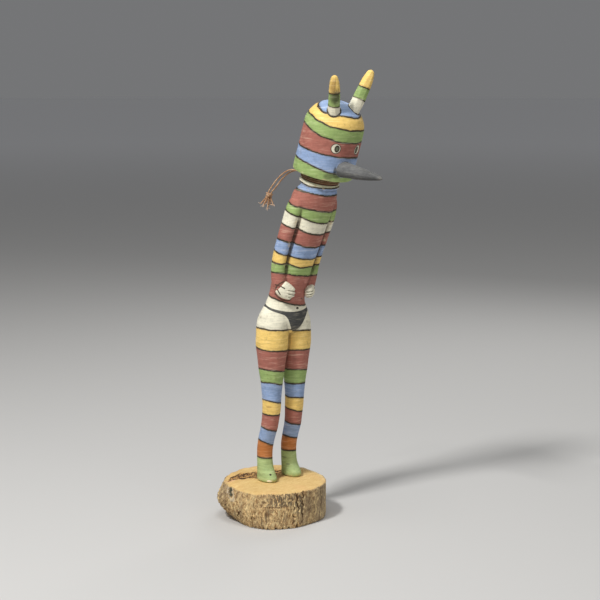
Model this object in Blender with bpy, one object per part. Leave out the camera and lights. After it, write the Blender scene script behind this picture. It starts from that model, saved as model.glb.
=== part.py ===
"""A carved and painted kachina doll that stands on a slice of log.

Everything is in metres with +Z up. The doll faces -Y and its left side is at +X. The origin is
the middle of the log's flat underside. The doll is one carved solid: mask, neck, body, arms,
hands, legs and boots. The two horns, the beak, the twine and the log are pieces of their own.
"""

import math

import bpy
import numpy as np

# Driving dimensions.
DOLL_HEIGHT = 0.341
LOG_DIAMETER = 0.0955
LOG_HEIGHT = 0.033
LOG_UNDERCUT = 0.013
LOG_EDGE = 0.0010
UNDERCUT_ANGLE = math.radians(150)
RIGHT_HORN_LENGTH = 0.0305
LEFT_HORN_LENGTH = 0.0380
RIGHT_HORN_DIAMETER = 0.0124
LEFT_HORN_DIAMETER = 0.0141
HORN_SPREAD = 0.0213
HORN_SHIFT = 0.0020
RIGHT_HORN_SPLAY = math.radians(14.5)
LEFT_HORN_SPLAY = math.radians(16.0)
BEAK_LENGTH = 0.050
BEAK_DIAMETER = 0.0136
BEAK_DROOP = math.radians(5)
TWINE_DIAMETER = 0.0013
TWINE_TURNS = 2
TWINE_START = math.radians(200)
TWINE_END_GAP = math.radians(14)
KNOT_WIDTH = 0.0042
KNOT_HEIGHT = 0.0062
FIT_GAP = 0.0003

# The carving is drawn in thousandths of the doll's height, measured up from its soles.
SHARE = DOLL_HEIGHT / 1000
SOLES = LOG_HEIGHT + FIT_GAP
UP = np.array([0.0, 0.0, 1.0])

# The mask leans forward and a little to the doll's left. Its underside is a flat ring.
MASK_FOOT = np.array([81.8, -106.6, 813.5]) * SHARE
NECK_FOOT = np.array([80.2, -105.3, 813.5]) * SHARE
MASK_LEAN = np.array([0.0576, -0.2667, 0.9620])
MASK_RADIUS = 77.3 * SHARE
MASK_WALL = 119.0 * SHARE
MASK_DOME = 71.5 * SHARE
MASK_EDGE = 3.5 * SHARE
NECK_RADIUS = 46.5 * SHARE
NECK_LENGTH = 20.0 * SHARE
COLLAR_RADIUS = 52.0 * SHARE
COLLAR_DEPTH = 10.0 * SHARE
COLLAR_EDGE = 1.8 * SHARE
BEAK_HEIGHT_ON_MASK = 37.0 * SHARE
HORN_FORWARD = 34.0 * SHARE
ROOT_DEPTH = 0.3 * MASK_RADIUS

# Rows of the body: height, left of the origin, forward, half width, half depth.
BODY_ROWS = (
    (384, 25.2, 15.8, 6, 8),
    (398, 25.2, 15.8, 27, 33),
    (412, 25.4, 16.0, 50, 45.5),
    (425, 25.6, 16.5, 67, 49.5),
    (438, 25.9, 17.4, 72, 50.0),
    (450, 26.1, 18.2, 69.5, 49),
    (465, 26.8, 19.9, 61, 45.3),
    (481, 27.9, 21.7, 53.5, 42),
    (504, 30.5, 27.3, 50.5, 41.5),
    (528, 33.7, 32.8, 51.5, 43),
    (575, 40.5, 43.5, 53, 46),
    (628, 50.0, 58.0, 54, 48),
    (680, 59.4, 72.2, 55, 50),
    (708, 63.6, 79.4, 57.5, 50.5),
    (733, 66.4, 84.8, 62.5, 51),
    (756, 69.2, 89.6, 63, 50.5),
    (773, 71.2, 92.4, 56.5, 48),
    (784, 74.0, 95.8, 46, 43),
    (794, 77.0, 99.6, 42, 40),
    (806, 79.6, 103.4, 40, 38),
)
# Rows of a leg: height, out from the middle, forward, half width, half depth.
LEG_MIDDLE = 25.8
STRIDE = 3.8
STRIDE_FADES_AT = 250.0
LEG_ROWS = (
    (0, 43.7, -4.4, 20.2, 31.0),
    (3.5, 43.7, -4.4, 21.6, 33.0),
    (10, 43.4, -4.6, 21.8, 33.2),
    (20, 43.1, -7.6, 21.5, 28.6),
    (32, 42.6, -11.7, 21.2, 23.6),
    (45, 42.2, -14.1, 20.8, 21.2),
    (67, 41.9, -15.2, 20.6, 20.6),
    (89, 41.6, -13.5, 21.1, 21.1),
    (116, 41.1, -5.9, 21.7, 21.7),
    (142, 40.2, 3.5, 22.6, 22.6),
    (169, 39.0, 8.8, 23.2, 23.2),
    (195, 38.1, 12.3, 24.3, 24.3),
    (223, 38.1, 13.5, 25.0, 25.0),
    (248, 38.1, 13.8, 27.0, 27.0),
    (274, 38.1, 14.1, 30.0, 30.2),
    (299, 38.1, 14.4, 34.0, 34.4),
    (325, 38.1, 14.7, 36.7, 37.5),
    (364, 38.1, 15.2, 41.5, 43.0),
    (393, 37.0, 15.8, 41.5, 44.5),
    (414, 35.6, 16.0, 41.2, 46.0),
    (430, 33.2, 16.6, 40.2, 47.0),
    (446, 30.0, 17.6, 37.0, 44.5),
    (462, 26.0, 19.0, 31.0, 38.0),
    (476, 22.0, 21.0, 22.0, 28.0),
)
# Rows of an arm: height, out from the body's middle line, forward of it, half width, half depth.
ARM_ROWS = (
    (758, 46.0, -2.0, 11, 18),
    (746, 52.5, -1.5, 16.0, 24),
    (722, 57.0, -0.5, 18.5, 26),
    (690, 58.5, 0.0, 19.5, 25.5),
    (650, 57.8, 0.0, 19.7, 24.6),
    (612, 56.2, 0.5, 19.7, 23.6),
    (578, 54.0, 4.4, 19.5, 22.4),
    (551, 51.6, 10.2, 19.0, 20.8),
    (530, 49.2, 17.0, 18.0, 19.0),
    (513, 46.4, 24.5, 14.5, 16.0),
    (504, 43.5, 30.0, 9.0, 11.0),
)
# The hands lie on the belly: across towards the middle, up, and out from the body.
HAND_HEIGHT = 512.0
HAND_OUT_FROM_MIDDLE = 40.5
HAND_FORWARD = 37.0
HAND_TURN = math.radians(34)
PALM = (-6.0, 1.0, -4.0)
PALM_SIZE = (24.0, 22.0, 16.5)
FINGER_ROWS = (
    ((3.0, 4.5, 4.5), (16.0, 5.0, 2.0), (26.0, 4.0, -6.0)),
    ((3.0, -3.0, 5.0), (17.0, -3.0, 2.5), (28.0, -4.5, -6.5)),
    ((3.0, -10.5, 4.5), (16.0, -11.0, 1.5), (27.0, -12.5, -7.0)),
    ((1.0, -18.0, 2.5), (13.0, -19.0, 0.0), (23.0, -20.0, -7.0)),
)
FINGER_RADIUS = 4.4
THUMB_ROW = ((-14.0, 8.0, 5.0), (-4.0, 17.0, 6.0), (6.0, 22.0, 2.0))
THUMB_RADIUS = 5.2

# The twine's free strands run from the back of the neck to a knot. Their points, chosen by hand,
# are measured from the middle of the neck.
STRAND_RIGHT_ROUTE = (
    (-0.00685, 0.01626, 0.0032),
    (-0.0079, 0.0188, 0.0041),
    (-0.0089, 0.0219, 0.0048),
    (-0.0098, 0.0250, 0.0052),
    (-0.0108, 0.0282, 0.0052),
    (-0.0119, 0.0316, 0.0043),
    (-0.0124, 0.0333, 0.0035),
    (-0.0130, 0.0351, 0.0025),
    (-0.0140, 0.0386, 0.0001),
    (-0.0150, 0.0419, -0.0028),
    (-0.0155, 0.0434, -0.0044),
    (-0.0159, 0.0449, -0.0060),
    (-0.0167, 0.0475, -0.0092),
    (-0.0174, 0.0497, -0.0122),
    (-0.0179, 0.0512, -0.0142),
)
STRAND_LEFT_ROUTE = (
    (-0.00535, 0.01672, 0.0035),
    (-0.0063, 0.0194, 0.0042),
    (-0.0071, 0.0222, 0.0046),
    (-0.0079, 0.0254, 0.0046),
    (-0.0089, 0.0286, 0.0039),
    (-0.0100, 0.0320, 0.0024),
    (-0.0105, 0.0336, 0.0014),
    (-0.0110, 0.0353, 0.0003),
    (-0.0120, 0.0385, -0.0025),
    (-0.0125, 0.0400, -0.0040),
    (-0.0129, 0.0414, -0.0055),
    (-0.0137, 0.0440, -0.0086),
    (-0.0145, 0.0464, -0.0114),
    (-0.0153, 0.0486, -0.0138),
    (-0.0159, 0.0502, -0.0152),
)
KNOT_PLACE = (-0.0173, 0.0530, -0.0181)
TAIL_ENDS = (
    (-0.0056, 0.0066, -0.0088),
    (-0.0060, 0.0028, -0.0100),
    (-0.0016, 0.0020, -0.0132),
    (0.0040, -0.0018, -0.0092),
)

# Colours and roughness of the finishes, linear RGB.
PAINTED_WOOD = ((0.42, 0.12, 0.09), 0.65)
PAINTED_HORN = ((0.75, 0.52, 0.16), 0.65)
CHARCOAL_WOOD = ((0.045, 0.045, 0.047), 0.60)
BARE_LOG = ((0.50, 0.31, 0.14), 0.85)
TWINE_FIBRE = ((0.30, 0.14, 0.07), 0.90)


def clear_scene():
    for item in list(bpy.data.objects):
        bpy.data.objects.remove(item, do_unlink=True)


def finish(name, colour_and_roughness):
    """A Principled material of one colour and roughness."""
    colour, roughness = colour_and_roughness
    material = bpy.data.materials.new(name)
    material.use_nodes = True
    shader = material.node_tree.nodes["Principled BSDF"]
    shader.inputs["Base Color"].default_value = (*colour, 1.0)
    shader.inputs["Roughness"].default_value = roughness
    shader.inputs["Metallic"].default_value = 0.0
    material.diffuse_color = (*colour, 1.0)
    return material


def unit(vector):
    vector = np.asarray(vector, float)
    return vector / np.linalg.norm(vector)


def smooth_rows(rows, count):
    """The rows read as points of one smooth (Catmull-Rom) curve, at count even steps."""
    rows = np.asarray(rows, float)
    padded = np.vstack([2 * rows[0] - rows[1], rows, 2 * rows[-1] - rows[-2]])
    place = np.linspace(0, len(rows) - 1, count)
    step = np.minimum(place.astype(int), len(rows) - 2)
    t = (place - step)[:, None]
    before, start, end, after = (padded[step + k] for k in range(4))
    return 0.5 * (
        2 * start
        + (end - before) * t
        + (2 * before - 5 * start + 4 * end - after) * t**2
        + (3 * start - before - 3 * end + after) * t**3
    )


def make_object(name, points, faces, material):
    mesh = bpy.data.meshes.new(name)
    mesh.from_pydata(points.tolist(), [], faces)
    mesh.materials.append(material)
    mesh.shade_smooth()
    mesh.set_sharp_from_angle(angle=math.radians(40))
    item = bpy.data.objects.new(name, mesh)
    bpy.context.collection.objects.link(item)
    return item


def skin(name, rings, material):
    """A closed skin over rings of points, from the first ring to the last, with flat ends."""
    rings = np.asarray(rings)
    levels, sides, _ = rings.shape
    faces = []
    for level in range(levels - 1):
        for side in range(sides):
            low = level * sides
            following = (side + 1) % sides
            faces.append((low + side, low + following, low + sides + following, low + sides + side))
    faces.append(tuple(range(sides))[::-1])
    faces.append(tuple(range((levels - 1) * sides, levels * sides)))
    return make_object(name, rings.reshape(-1, 3), faces, material)


def oval_rings(centres, across, along, half_widths, half_depths, sides):
    """Ovals about each centre, in the plane of the across and along directions."""
    angle = np.arange(sides) * 2 * math.pi / sides
    wide = half_widths[:, None, None] * np.cos(angle)[None, :, None] * across[:, None, :]
    deep = half_depths[:, None, None] * np.sin(angle)[None, :, None] * along[:, None, :]
    return centres[:, None, :] + wide + deep


def carved_column(name, rows, sides, levels, material):
    """A body-like form through rows of height, left, forward, half width and half depth."""
    table = smooth_rows(rows, levels) * SHARE
    centres = np.stack([table[:, 1], -table[:, 2], table[:, 0] + SOLES], 1)
    across = np.tile([1.0, 0.0, 0.0], (levels, 1))
    back = np.tile([0.0, 1.0, 0.0], (levels, 1))
    return skin(name, oval_rings(centres, across, back, table[:, 3], table[:, 4], sides), material)


def rod(name, path, radii, flatness, out, sides, material):
    """A round-ended rod along a path; flatness is its thickness along out, as a share."""
    path = np.asarray(path, float)
    tangent = np.gradient(path, axis=0)
    tangent /= np.linalg.norm(tangent, axis=1)[:, None]
    out = np.tile(out, (len(path), 1))
    out = out - (out * tangent).sum(1)[:, None] * tangent
    out /= np.linalg.norm(out, axis=1)[:, None]
    side = np.cross(out, tangent)
    return skin(name, oval_rings(path, side, out, radii, radii * flatness, sides), material)


def turned(name, profile, foot, axis, front, sides, material):
    """A profile of (radius, height) turned about an axis from its foot, bottom to top."""
    profile = np.asarray(profile, float)
    count = len(profile)
    centres = foot + profile[:, 1:2] * axis
    across = np.tile(np.cross(axis, front), (count, 1))
    back = np.tile(-front, (count, 1))
    return skin(name, oval_rings(centres, across, back, profile[:, 0], profile[:, 0], sides), material)


def joined(target, pieces, operation="UNION"):
    """Joins pieces to the target, or cuts them from it; the pieces become hidden helpers."""
    for piece in pieces:
        change = target.modifiers.new(operation.title() + " " + piece.name, "BOOLEAN")
        change.operation = operation
        change.solver = "EXACT"
        change.object = piece
        piece.hide_render = True
        piece.display_type = "WIRE"
    return target


def mask_frame():
    """The mask's foot, its axis, and the directions to its front and to its left."""
    axis = unit(MASK_LEAN)
    ahead = np.array([0.0, -1.0, 0.0])
    front = unit(ahead - ahead @ axis * axis)
    return MASK_FOOT + SOLES * UP, axis, front, np.cross(axis, front)


def neck_middle():
    return NECK_FOOT + SOLES * UP - 0.5 * NECK_LENGTH * unit(MASK_LEAN)


def mask_profile(growth):
    """Flat underside with a small round edge, straight wall, and a dome of a quarter oval."""
    radius = MASK_RADIUS + growth
    rise = np.radians(np.linspace(0, 84, 9))
    dome = np.stack([radius * np.cos(rise), MASK_WALL + (MASK_DOME + growth) * np.sin(rise)], 1)
    foot = [
        (radius - MASK_EDGE, -growth),
        (radius - 0.3 * MASK_EDGE, 0.25 * MASK_EDGE - growth),
        (radius, MASK_EDGE),
        (radius, 0.5 * MASK_WALL),
    ]
    return np.vstack([foot, dome])


def body_middle(height):
    """Left and forward of the body's middle line at a height, in thousandths."""
    rows = np.asarray(BODY_ROWS, float)
    return np.array([np.interp(height, rows[:, 0], rows[:, column]) for column in (1, 2)])


def hand_point(side, place):
    """The place of (across, up, out) on one hand; side is +1 on the doll's left."""
    across = np.array([-side * math.cos(HAND_TURN), -math.sin(HAND_TURN), 0.0])
    out = np.array([side * math.sin(HAND_TURN), -math.cos(HAND_TURN), 0.0])
    left, forward = body_middle(HAND_HEIGHT)
    palm = np.array([left + side * HAND_OUT_FROM_MIDDLE, -forward - HAND_FORWARD, HAND_HEIGHT])
    point = palm + place[0] * across + place[1] * UP + place[2] * out
    return point * SHARE + SOLES * UP


def hand_pieces(side, label, material):
    """The palm, four fingers and a thumb of one hand."""
    out = np.array([side * math.sin(HAND_TURN), -math.cos(HAND_TURN), 0.0])
    steps = np.radians(np.linspace(-78, 78, 9))
    path = [hand_point(side, (PALM[0] + PALM_SIZE[0] * math.sin(a), PALM[1], PALM[2])) for a in steps]
    radii = PALM_SIZE[1] * np.cos(steps) * SHARE
    flatness = PALM_SIZE[2] / PALM_SIZE[1]
    pieces = [rod("palm_" + label, path, radii, flatness, out, 14, material)]
    fingers = [("finger_%d_" % k, row, FINGER_RADIUS) for k, row in enumerate(FINGER_ROWS)]
    fingers.append(("thumb_", THUMB_ROW, THUMB_RADIUS))
    for name, row, radius in fingers:
        path = [hand_point(side, place) for place in smooth_rows(row, 5)]
        taper = np.array([0.85, 1.0, 1.0, 0.9, 0.5]) * radius * SHARE
        pieces.append(rod(name + label, path, taper, 1.5, out, 8, material))
    return pieces


def leg_rows(side):
    """One leg's rows with its place from the middle; the right foot stands a little ahead."""
    rows = []
    for height, out, forward, wide, deep in LEG_ROWS:
        stride = STRIDE * max(0.0, 1.0 - height / STRIDE_FADES_AT)
        rows.append((height, LEG_MIDDLE + side * out, forward - side * stride, wide, deep))
    return rows


def arm_rows(side):
    """One arm's rows, from the elbow up, beside the body's middle line."""
    rows = []
    for height, out, forward, wide, deep in reversed(ARM_ROWS):
        left, ahead = body_middle(height)
        rows.append((height, left + side * out, ahead + forward, wide, deep))
    return rows


def carved_figure(material):
    """The doll's one carved solid, from the crown of its mask to its boots."""
    foot, axis, front, _ = mask_frame()
    body = carved_column("carved_figure", BODY_ROWS, 30, 25, material)
    pieces = []
    for side, label in ((-1, "right"), (1, "left")):
        pieces.append(carved_column("leg_" + label, leg_rows(side), 18, 23, material))
        pieces.append(carved_column("arm_" + label, arm_rows(side), 14, 14, material))
        pieces += hand_pieces(side, label, material)
    collar_top = -NECK_LENGTH
    collar_foot = collar_top - COLLAR_DEPTH
    neck = [
        (COLLAR_RADIUS - COLLAR_EDGE, collar_foot),
        (COLLAR_RADIUS, collar_foot + COLLAR_EDGE),
        (COLLAR_RADIUS, collar_top - COLLAR_EDGE),
        (COLLAR_RADIUS - COLLAR_EDGE, collar_top),
        (NECK_RADIUS, collar_top),
        (NECK_RADIUS, MASK_EDGE),
    ]
    pieces.append(turned("neck", neck, NECK_FOOT + SOLES * UP, axis, front, 36, material))
    pieces.append(turned("mask", mask_profile(0.0), foot, axis, front, 44, material))
    return joined(body, pieces)


def seated_on_mask(item, material):
    """Cuts away what would lie in the mask, with the fitting gap round it."""
    foot, axis, front, _ = mask_frame()
    room = turned("mask_room_" + item.name, mask_profile(FIT_GAP), foot, axis, front, 44, material)
    return joined(item, [room], "DIFFERENCE")


def mask_top_at(away):
    """Height of the dome above the mask's foot, at a distance from its axis."""
    return MASK_WALL + MASK_DOME * math.sqrt(max(0.0, 1 - (away / MASK_RADIUS) ** 2))


def horn(side, label, length, diameter, splay, material):
    """A straight round horn, widest at its root, with a blunt round tip."""
    foot, axis, front, left = mask_frame()
    away = math.hypot(HORN_SPREAD / 2, HORN_FORWARD)
    across = side * HORN_SPREAD / 2 - HORN_SHIFT
    seat = foot + mask_top_at(away) * axis + HORN_FORWARD * front + across * left
    lean = unit(math.cos(splay) * axis + side * math.sin(splay) * left)
    ahead = unit(front - front @ lean * lean)
    shape = smooth_rows(
        ((1.12, -ROOT_DEPTH / length), (1.06, 0.0), (0.88, 0.13), (0.83, 0.34), (0.79, 0.54),
         (0.72, 0.72), (0.60, 0.85), (0.43, 0.95), (0.18, 1.0)), 11)
    profile = shape * (diameter / 2, length)
    item = turned("horn_" + label, profile, seat, lean, ahead, 16, material)
    return seated_on_mask(item, material)


def beak(material):
    """A long round cone, flatter below than above, that points straight ahead and down."""
    foot, axis, front, _ = mask_frame()
    seat = foot + BEAK_HEIGHT_ON_MASK * axis + MASK_RADIUS * front
    ahead = np.array([0.0, -math.cos(BEAK_DROOP), -math.sin(BEAK_DROOP)])
    up = np.cross(ahead, np.array([-1.0, 0.0, 0.0]))
    shape = smooth_rows(
        ((1.0, -ROOT_DEPTH / BEAK_LENGTH, 0.0), (1.0, 0.0, 0.0), (0.93, 0.17, 0.0), (0.84, 0.34, 0.0),
         (0.73, 0.51, 0.0), (0.60, 0.67, -0.02), (0.44, 0.82, -0.05), (0.28, 0.93, -0.10),
         (0.12, 0.99, -0.14)), 12)
    radius = shape[:, 0] * BEAK_DIAMETER / 2
    path = seat + shape[:, 1:2] * BEAK_LENGTH * ahead + shape[:, 2:3] * BEAK_DIAMETER / 2 * up
    across = np.tile([-1.0, 0.0, 0.0], (len(path), 1))
    rings = oval_rings(path, across, np.tile(up, (len(path), 1)), radius, radius, 18)
    return seated_on_mask(skin("beak", rings, material), material)


def log_slice(material):
    """A slice of log: an uneven round, flat above and below, cut under on its right and back."""
    angle = np.arange(56) * 2 * math.pi / 56
    uneven = np.zeros_like(angle)
    for waves, share, phase in ((2, 0.014, 0.6), (3, 0.010, -0.4), (7, 0.006, 1.0)):
        uneven += share * np.cos(waves * angle + phase)
    radius = LOG_DIAMETER / 2 * (1 + uneven)
    toward_undercut = np.maximum(0.0, np.cos(angle - UNDERCUT_ANGLE)) ** 1.5
    edge = LOG_EDGE
    levels = ((0.0, 1.0, edge), (0.12, 0.72, 0.0), (0.30, 0.38, 0.0), (0.50, 0.12, 0.0),
              (0.75, 0.0, 0.0), (0.965, 0.0, 0.0), (1.0, 0.0, edge))
    rings = []
    for share, cut, inset in levels:
        reach = radius - inset - cut * LOG_UNDERCUT * toward_undercut
        height = np.full_like(reach, share * LOG_HEIGHT)
        rings.append(np.stack([reach * np.cos(angle), reach * np.sin(angle), height], 1))
    return skin("log_base", rings, material)


def cord_curve(name, points, material):
    """A round cord along its points, closed at both ends."""
    data = bpy.data.curves.new(name, "CURVE")
    data.dimensions = "3D"
    data.bevel_depth = TWINE_DIAMETER / 2
    data.bevel_resolution = 2
    data.use_fill_caps = True
    data.materials.append(material)
    spline = data.splines.new("POLY")
    spline.points.add(len(points) - 1)
    for point, place in zip(spline.points, points):
        point.co = (*place, 1.0)
    item = bpy.data.objects.new(name, data)
    bpy.context.collection.objects.link(item)
    return item


def neck_twine(material):
    """The twine's turns round the neck, in the space between the collar and the mask."""
    _, axis, front, left = mask_frame()
    radius = NECK_RADIUS + FIT_GAP + TWINE_DIAMETER / 2
    pitch = TWINE_DIAMETER + FIT_GAP
    turned_by = np.linspace(0, TWINE_TURNS * 2 * math.pi - TWINE_END_GAP, TWINE_TURNS * 20)
    height = pitch * (turned_by / (2 * math.pi) - TWINE_TURNS / 2)
    angle = TWINE_START + turned_by
    ring = radius * (np.cos(angle)[:, None] * front + np.sin(angle)[:, None] * left)
    return cord_curve("neck_twine", neck_middle() + ring + height[:, None] * axis, material)


def twine_knot(material):
    """The knot that gathers both strands, with four frayed ends below it."""
    centre = neck_middle() + KNOT_PLACE
    ahead = np.array([0.0, -1.0, 0.0])
    steps = np.radians(np.linspace(-75, 75, 7))
    path = centre + np.sin(steps)[:, None] * KNOT_HEIGHT / 2 * UP
    body = rod("twine_knot", path, KNOT_WIDTH / 2 * np.cos(steps), 1.0, ahead, 10, material)
    tails = []
    for number, end in enumerate(TAIL_ENDS):
        end = np.array(end)
        middle = end * (0.62, 0.62, 0.5)
        path = centre + smooth_rows((end * 0.05, middle, end), 5)
        radii = TWINE_DIAMETER / 2 * np.linspace(1.0, 1.15, 5)
        tails.append(rod("tail_%d" % number, path, radii, 1.0, ahead, 6, material))
    return joined(body, tails)


def main():
    clear_scene()
    paint = finish("painted wood", PAINTED_WOOD)
    horn_paint = finish("painted horn", PAINTED_HORN)
    charcoal = finish("charcoal beak", CHARCOAL_WOOD)
    wood = finish("bare log", BARE_LOG)
    fibre = finish("twine fibre", TWINE_FIBRE)
    carved_figure(paint)
    horn(-1, "right", RIGHT_HORN_LENGTH, RIGHT_HORN_DIAMETER, RIGHT_HORN_SPLAY, horn_paint)
    horn(1, "left", LEFT_HORN_LENGTH, LEFT_HORN_DIAMETER, LEFT_HORN_SPLAY, horn_paint)
    beak(charcoal)
    log_slice(wood)
    neck_twine(fibre)
    cord_curve("twine_strand_right", neck_middle() + STRAND_RIGHT_ROUTE, fibre)
    cord_curve("twine_strand_left", neck_middle() + STRAND_LEFT_ROUTE, fibre)
    twine_knot(fibre)


main()
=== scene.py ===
# %% [markdown]
# # A carved and painted doll on a slice of log
#
# The real doll is whittled from one light root and painted in matte earth colours: a tall round mask
# with a dome, a striped body whose arms stay in relief, thin legs and green boots. Two horns and a long
# beak are glued on, brown twine is tied round the neck, and a sawn slice of log carries it all.
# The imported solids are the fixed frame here. Every piece below stands for one of them, in the same place.

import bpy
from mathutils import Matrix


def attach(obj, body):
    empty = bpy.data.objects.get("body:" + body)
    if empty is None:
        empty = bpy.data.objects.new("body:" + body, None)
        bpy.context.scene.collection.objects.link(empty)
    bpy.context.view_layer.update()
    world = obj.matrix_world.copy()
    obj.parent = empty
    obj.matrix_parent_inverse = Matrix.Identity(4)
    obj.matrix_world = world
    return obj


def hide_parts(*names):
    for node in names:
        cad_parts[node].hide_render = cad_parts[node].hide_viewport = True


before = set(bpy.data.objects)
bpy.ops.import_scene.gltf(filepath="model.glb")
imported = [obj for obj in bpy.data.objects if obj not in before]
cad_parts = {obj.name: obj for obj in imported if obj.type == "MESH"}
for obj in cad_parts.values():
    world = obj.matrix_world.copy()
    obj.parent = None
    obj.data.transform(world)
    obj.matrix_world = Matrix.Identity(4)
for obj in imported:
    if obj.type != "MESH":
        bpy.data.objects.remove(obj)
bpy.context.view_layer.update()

# %% Tools used in every cell
import math

import bpy
import numpy as np
from mathutils import Vector

scene = bpy.context.scene
UP = np.array([0.0, 0.0, 1.0])
LEFT = np.array([1.0, 0.0, 0.0])
# Level and away from the viewer.
AWAY = np.array([0.616, 0.788, 0.0])
MM = 0.001
# The distance to a painted mark where there is none near.
FAR = 9.0


def unit(vector):
    """The vector, or each row of vectors, at length one."""
    vector = np.asarray(vector, float)
    return vector / np.linalg.norm(vector, axis=-1, keepdims=True)


def rising(value, start, over):
    """0 up to a start, then evenly up to 1 over a length."""
    return np.clip((value - start) / over, 0, 1)


def wrapped(degrees):
    """Angles brought between -180 and 180 degrees."""
    return (degrees + 180) % 360 - 180


def distances(points, line):
    """How far each point is from each of a line's points."""
    return np.sqrt(((points[:, None, :] - line[None, :, :]) ** 2).sum(2))


def nearest(points, line):
    """How far points are from the nearest of a line's points."""
    return distances(points, line).min(1)


# %% [markdown]
# ## Camera
#
# The camera stands where the photographer stood: about 1.3 metres away, turned 38 degrees to the doll's
# right, a little above it and looking slightly down. A long lens keeps the upright lines upright. It is
# made first, because the cords are measured against its view.

# %% Camera
VIEW_TURN = math.radians(-38.0)
LOOK_DOWN = math.radians(8.5)
CAMERA_NEAR, CAMERA_RIGHT, CAMERA_HEIGHT = 1.330, 0.0249, 0.396
view_right = np.array([math.cos(VIEW_TURN), math.sin(VIEW_TURN), 0.0])
view_near = np.array([math.sin(VIEW_TURN), -math.cos(VIEW_TURN), 0.0])
ahead = -math.cos(LOOK_DOWN) * view_near - math.sin(LOOK_DOWN) * UP

camera = bpy.data.objects.new("camera", bpy.data.cameras.new("camera"))
scene.collection.objects.link(camera)
camera.data.sensor_width = 36.0
camera.data.lens = 90.66
camera.location = CAMERA_NEAR * view_near + CAMERA_RIGHT * view_right + CAMERA_HEIGHT * UP
camera.rotation_euler = Vector(ahead).to_track_quat("-Z", "Y").to_euler()
scene.camera = camera
print("camera at", [round(v, 3) for v in camera.location])

# %% [markdown]
# ## The carving's own measures
#
# The doll is drawn in thousandths of its height, measured up from its soles, as a carver would divide a
# blank. A few directions recur: the mask's axis leans forward and a little to the doll's left, and the
# neck, the twine, the horns and the beak are all placed from it.

# %% Measures of the carving
SHARE = 0.341 / 1000
SOLES = 0.0333
MASK_AXIS = unit([0.0576, -0.2667, 0.9620])
MASK_FRONT = unit(np.array([0.0, -1.0, 0.0]) + MASK_AXIS[1] * MASK_AXIS)
MASK_LEFT = np.cross(MASK_AXIS, MASK_FRONT)
MASK_FOOT = np.array([81.8, -106.6, 813.5]) * SHARE + SOLES * UP
NECK_FOOT = np.array([80.2, -105.3, 813.5]) * SHARE + SOLES * UP
MASK_RADIUS, MASK_WALL, MASK_DOME, MASK_EDGE = np.array([77.3, 119.0, 71.5, 3.5]) * SHARE
NECK_RADIUS, NECK_LENGTH = np.array([46.5, 20.0]) * SHARE
NECK_MIDDLE = NECK_FOOT - 0.5 * NECK_LENGTH * MASK_AXIS
print("mask leans", round(math.degrees(math.acos(MASK_AXIS[2])), 1), "degrees")


# %% [markdown]
# ## Surfaces from grids
#
# Almost every piece is a grid: rings of points, one after the other, each ring going once round. The
# helper below turns such a grid into faces with whole arrays, and closes both ends with a fan of
# triangles round a middle point, so the skin is closed and every face points outwards.

# %% Grids into meshes
def grid_faces(rings):
    """Points, quads and end triangles of a closed grid of shape (levels, sides, 3): side s of level l
    joins sides s and s + 1 of levels l and l + 1, and each end ring joins its own middle."""
    levels, sides, _ = rings.shape
    index = np.arange(levels * sides).reshape(levels, sides)
    low, high = index[:-1], index[1:]
    quads = np.stack([low, np.roll(low, -1, 1), np.roll(high, -1, 1), high], -1).reshape(-1, 4)
    start, end = levels * sides, levels * sides + 1
    first, last = index[0], index[-1]
    fans = np.concatenate([
        np.stack([np.roll(first, -1), first, np.full(sides, start)], -1),
        np.stack([last, np.roll(last, -1), np.full(sides, end)], -1),
    ])
    points = np.concatenate([rings.reshape(-1, 3), rings[0].mean(0)[None], rings[-1].mean(0)[None]])
    return points, quads, fans


def joined_grids(grids):
    """Several closed grids as one set of points and faces."""
    points, faces, start = [], [], 0
    for rings in grids:
        more, quads, fans = grid_faces(np.asarray(rings, float))
        points.append(more)
        faces += (quads + start).tolist() + (fans + start).tolist()
        start += len(more)
    return np.concatenate(points), faces


def rings_about(centres, reach, angle, first, second):
    """Rings about centres: reach times cos(angle) along one direction and times sin(angle) along another."""
    return (centres[:, None, :] + (reach * np.cos(angle))[..., None] * first
            + (reach * np.sin(angle))[..., None] * second)


def make_piece(name, points, faces, material, attributes=None, replaces=()):
    """A mesh object at the origin that rides on the root body, with its float attributes."""
    mesh = bpy.data.meshes.new(name)
    mesh.from_pydata(points.tolist(), [], faces if isinstance(faces, list) else faces.tolist())
    for title, values in (attributes or {}).items():
        layer = mesh.attributes.new(title, "FLOAT", "POINT")
        layer.data.foreach_set("value", np.asarray(values, np.float32))
    mesh.materials.append(material)
    mesh.shade_smooth()
    piece = bpy.data.objects.new(name, mesh)
    scene.collection.objects.link(piece)
    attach(piece, "root")
    if replaces:
        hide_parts(*replaces)
    triangles = sum(len(polygon.vertices) - 2 for polygon in mesh.polygons)
    print(name, len(points), "points,", triangles, "triangles")
    return piece


def smooth_rows(rows, count):
    """Rows read as points of one smooth (Catmull-Rom) curve, at count even steps of the row number."""
    rows = np.asarray(rows, float)
    padded = np.vstack([2 * rows[0] - rows[1], rows, 2 * rows[-1] - rows[-2]])
    place = np.linspace(0, len(rows) - 1, count)
    step = np.minimum(place.astype(int), len(rows) - 2)
    t = (place - step)[:, None]
    before, start, end, after = (padded[step + k] for k in range(4))
    return 0.5 * (2 * start + (end - before) * t + (2 * before - 5 * start + 4 * end - after) * t**2
                  + (3 * start - before - 3 * end + after) * t**3)


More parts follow.
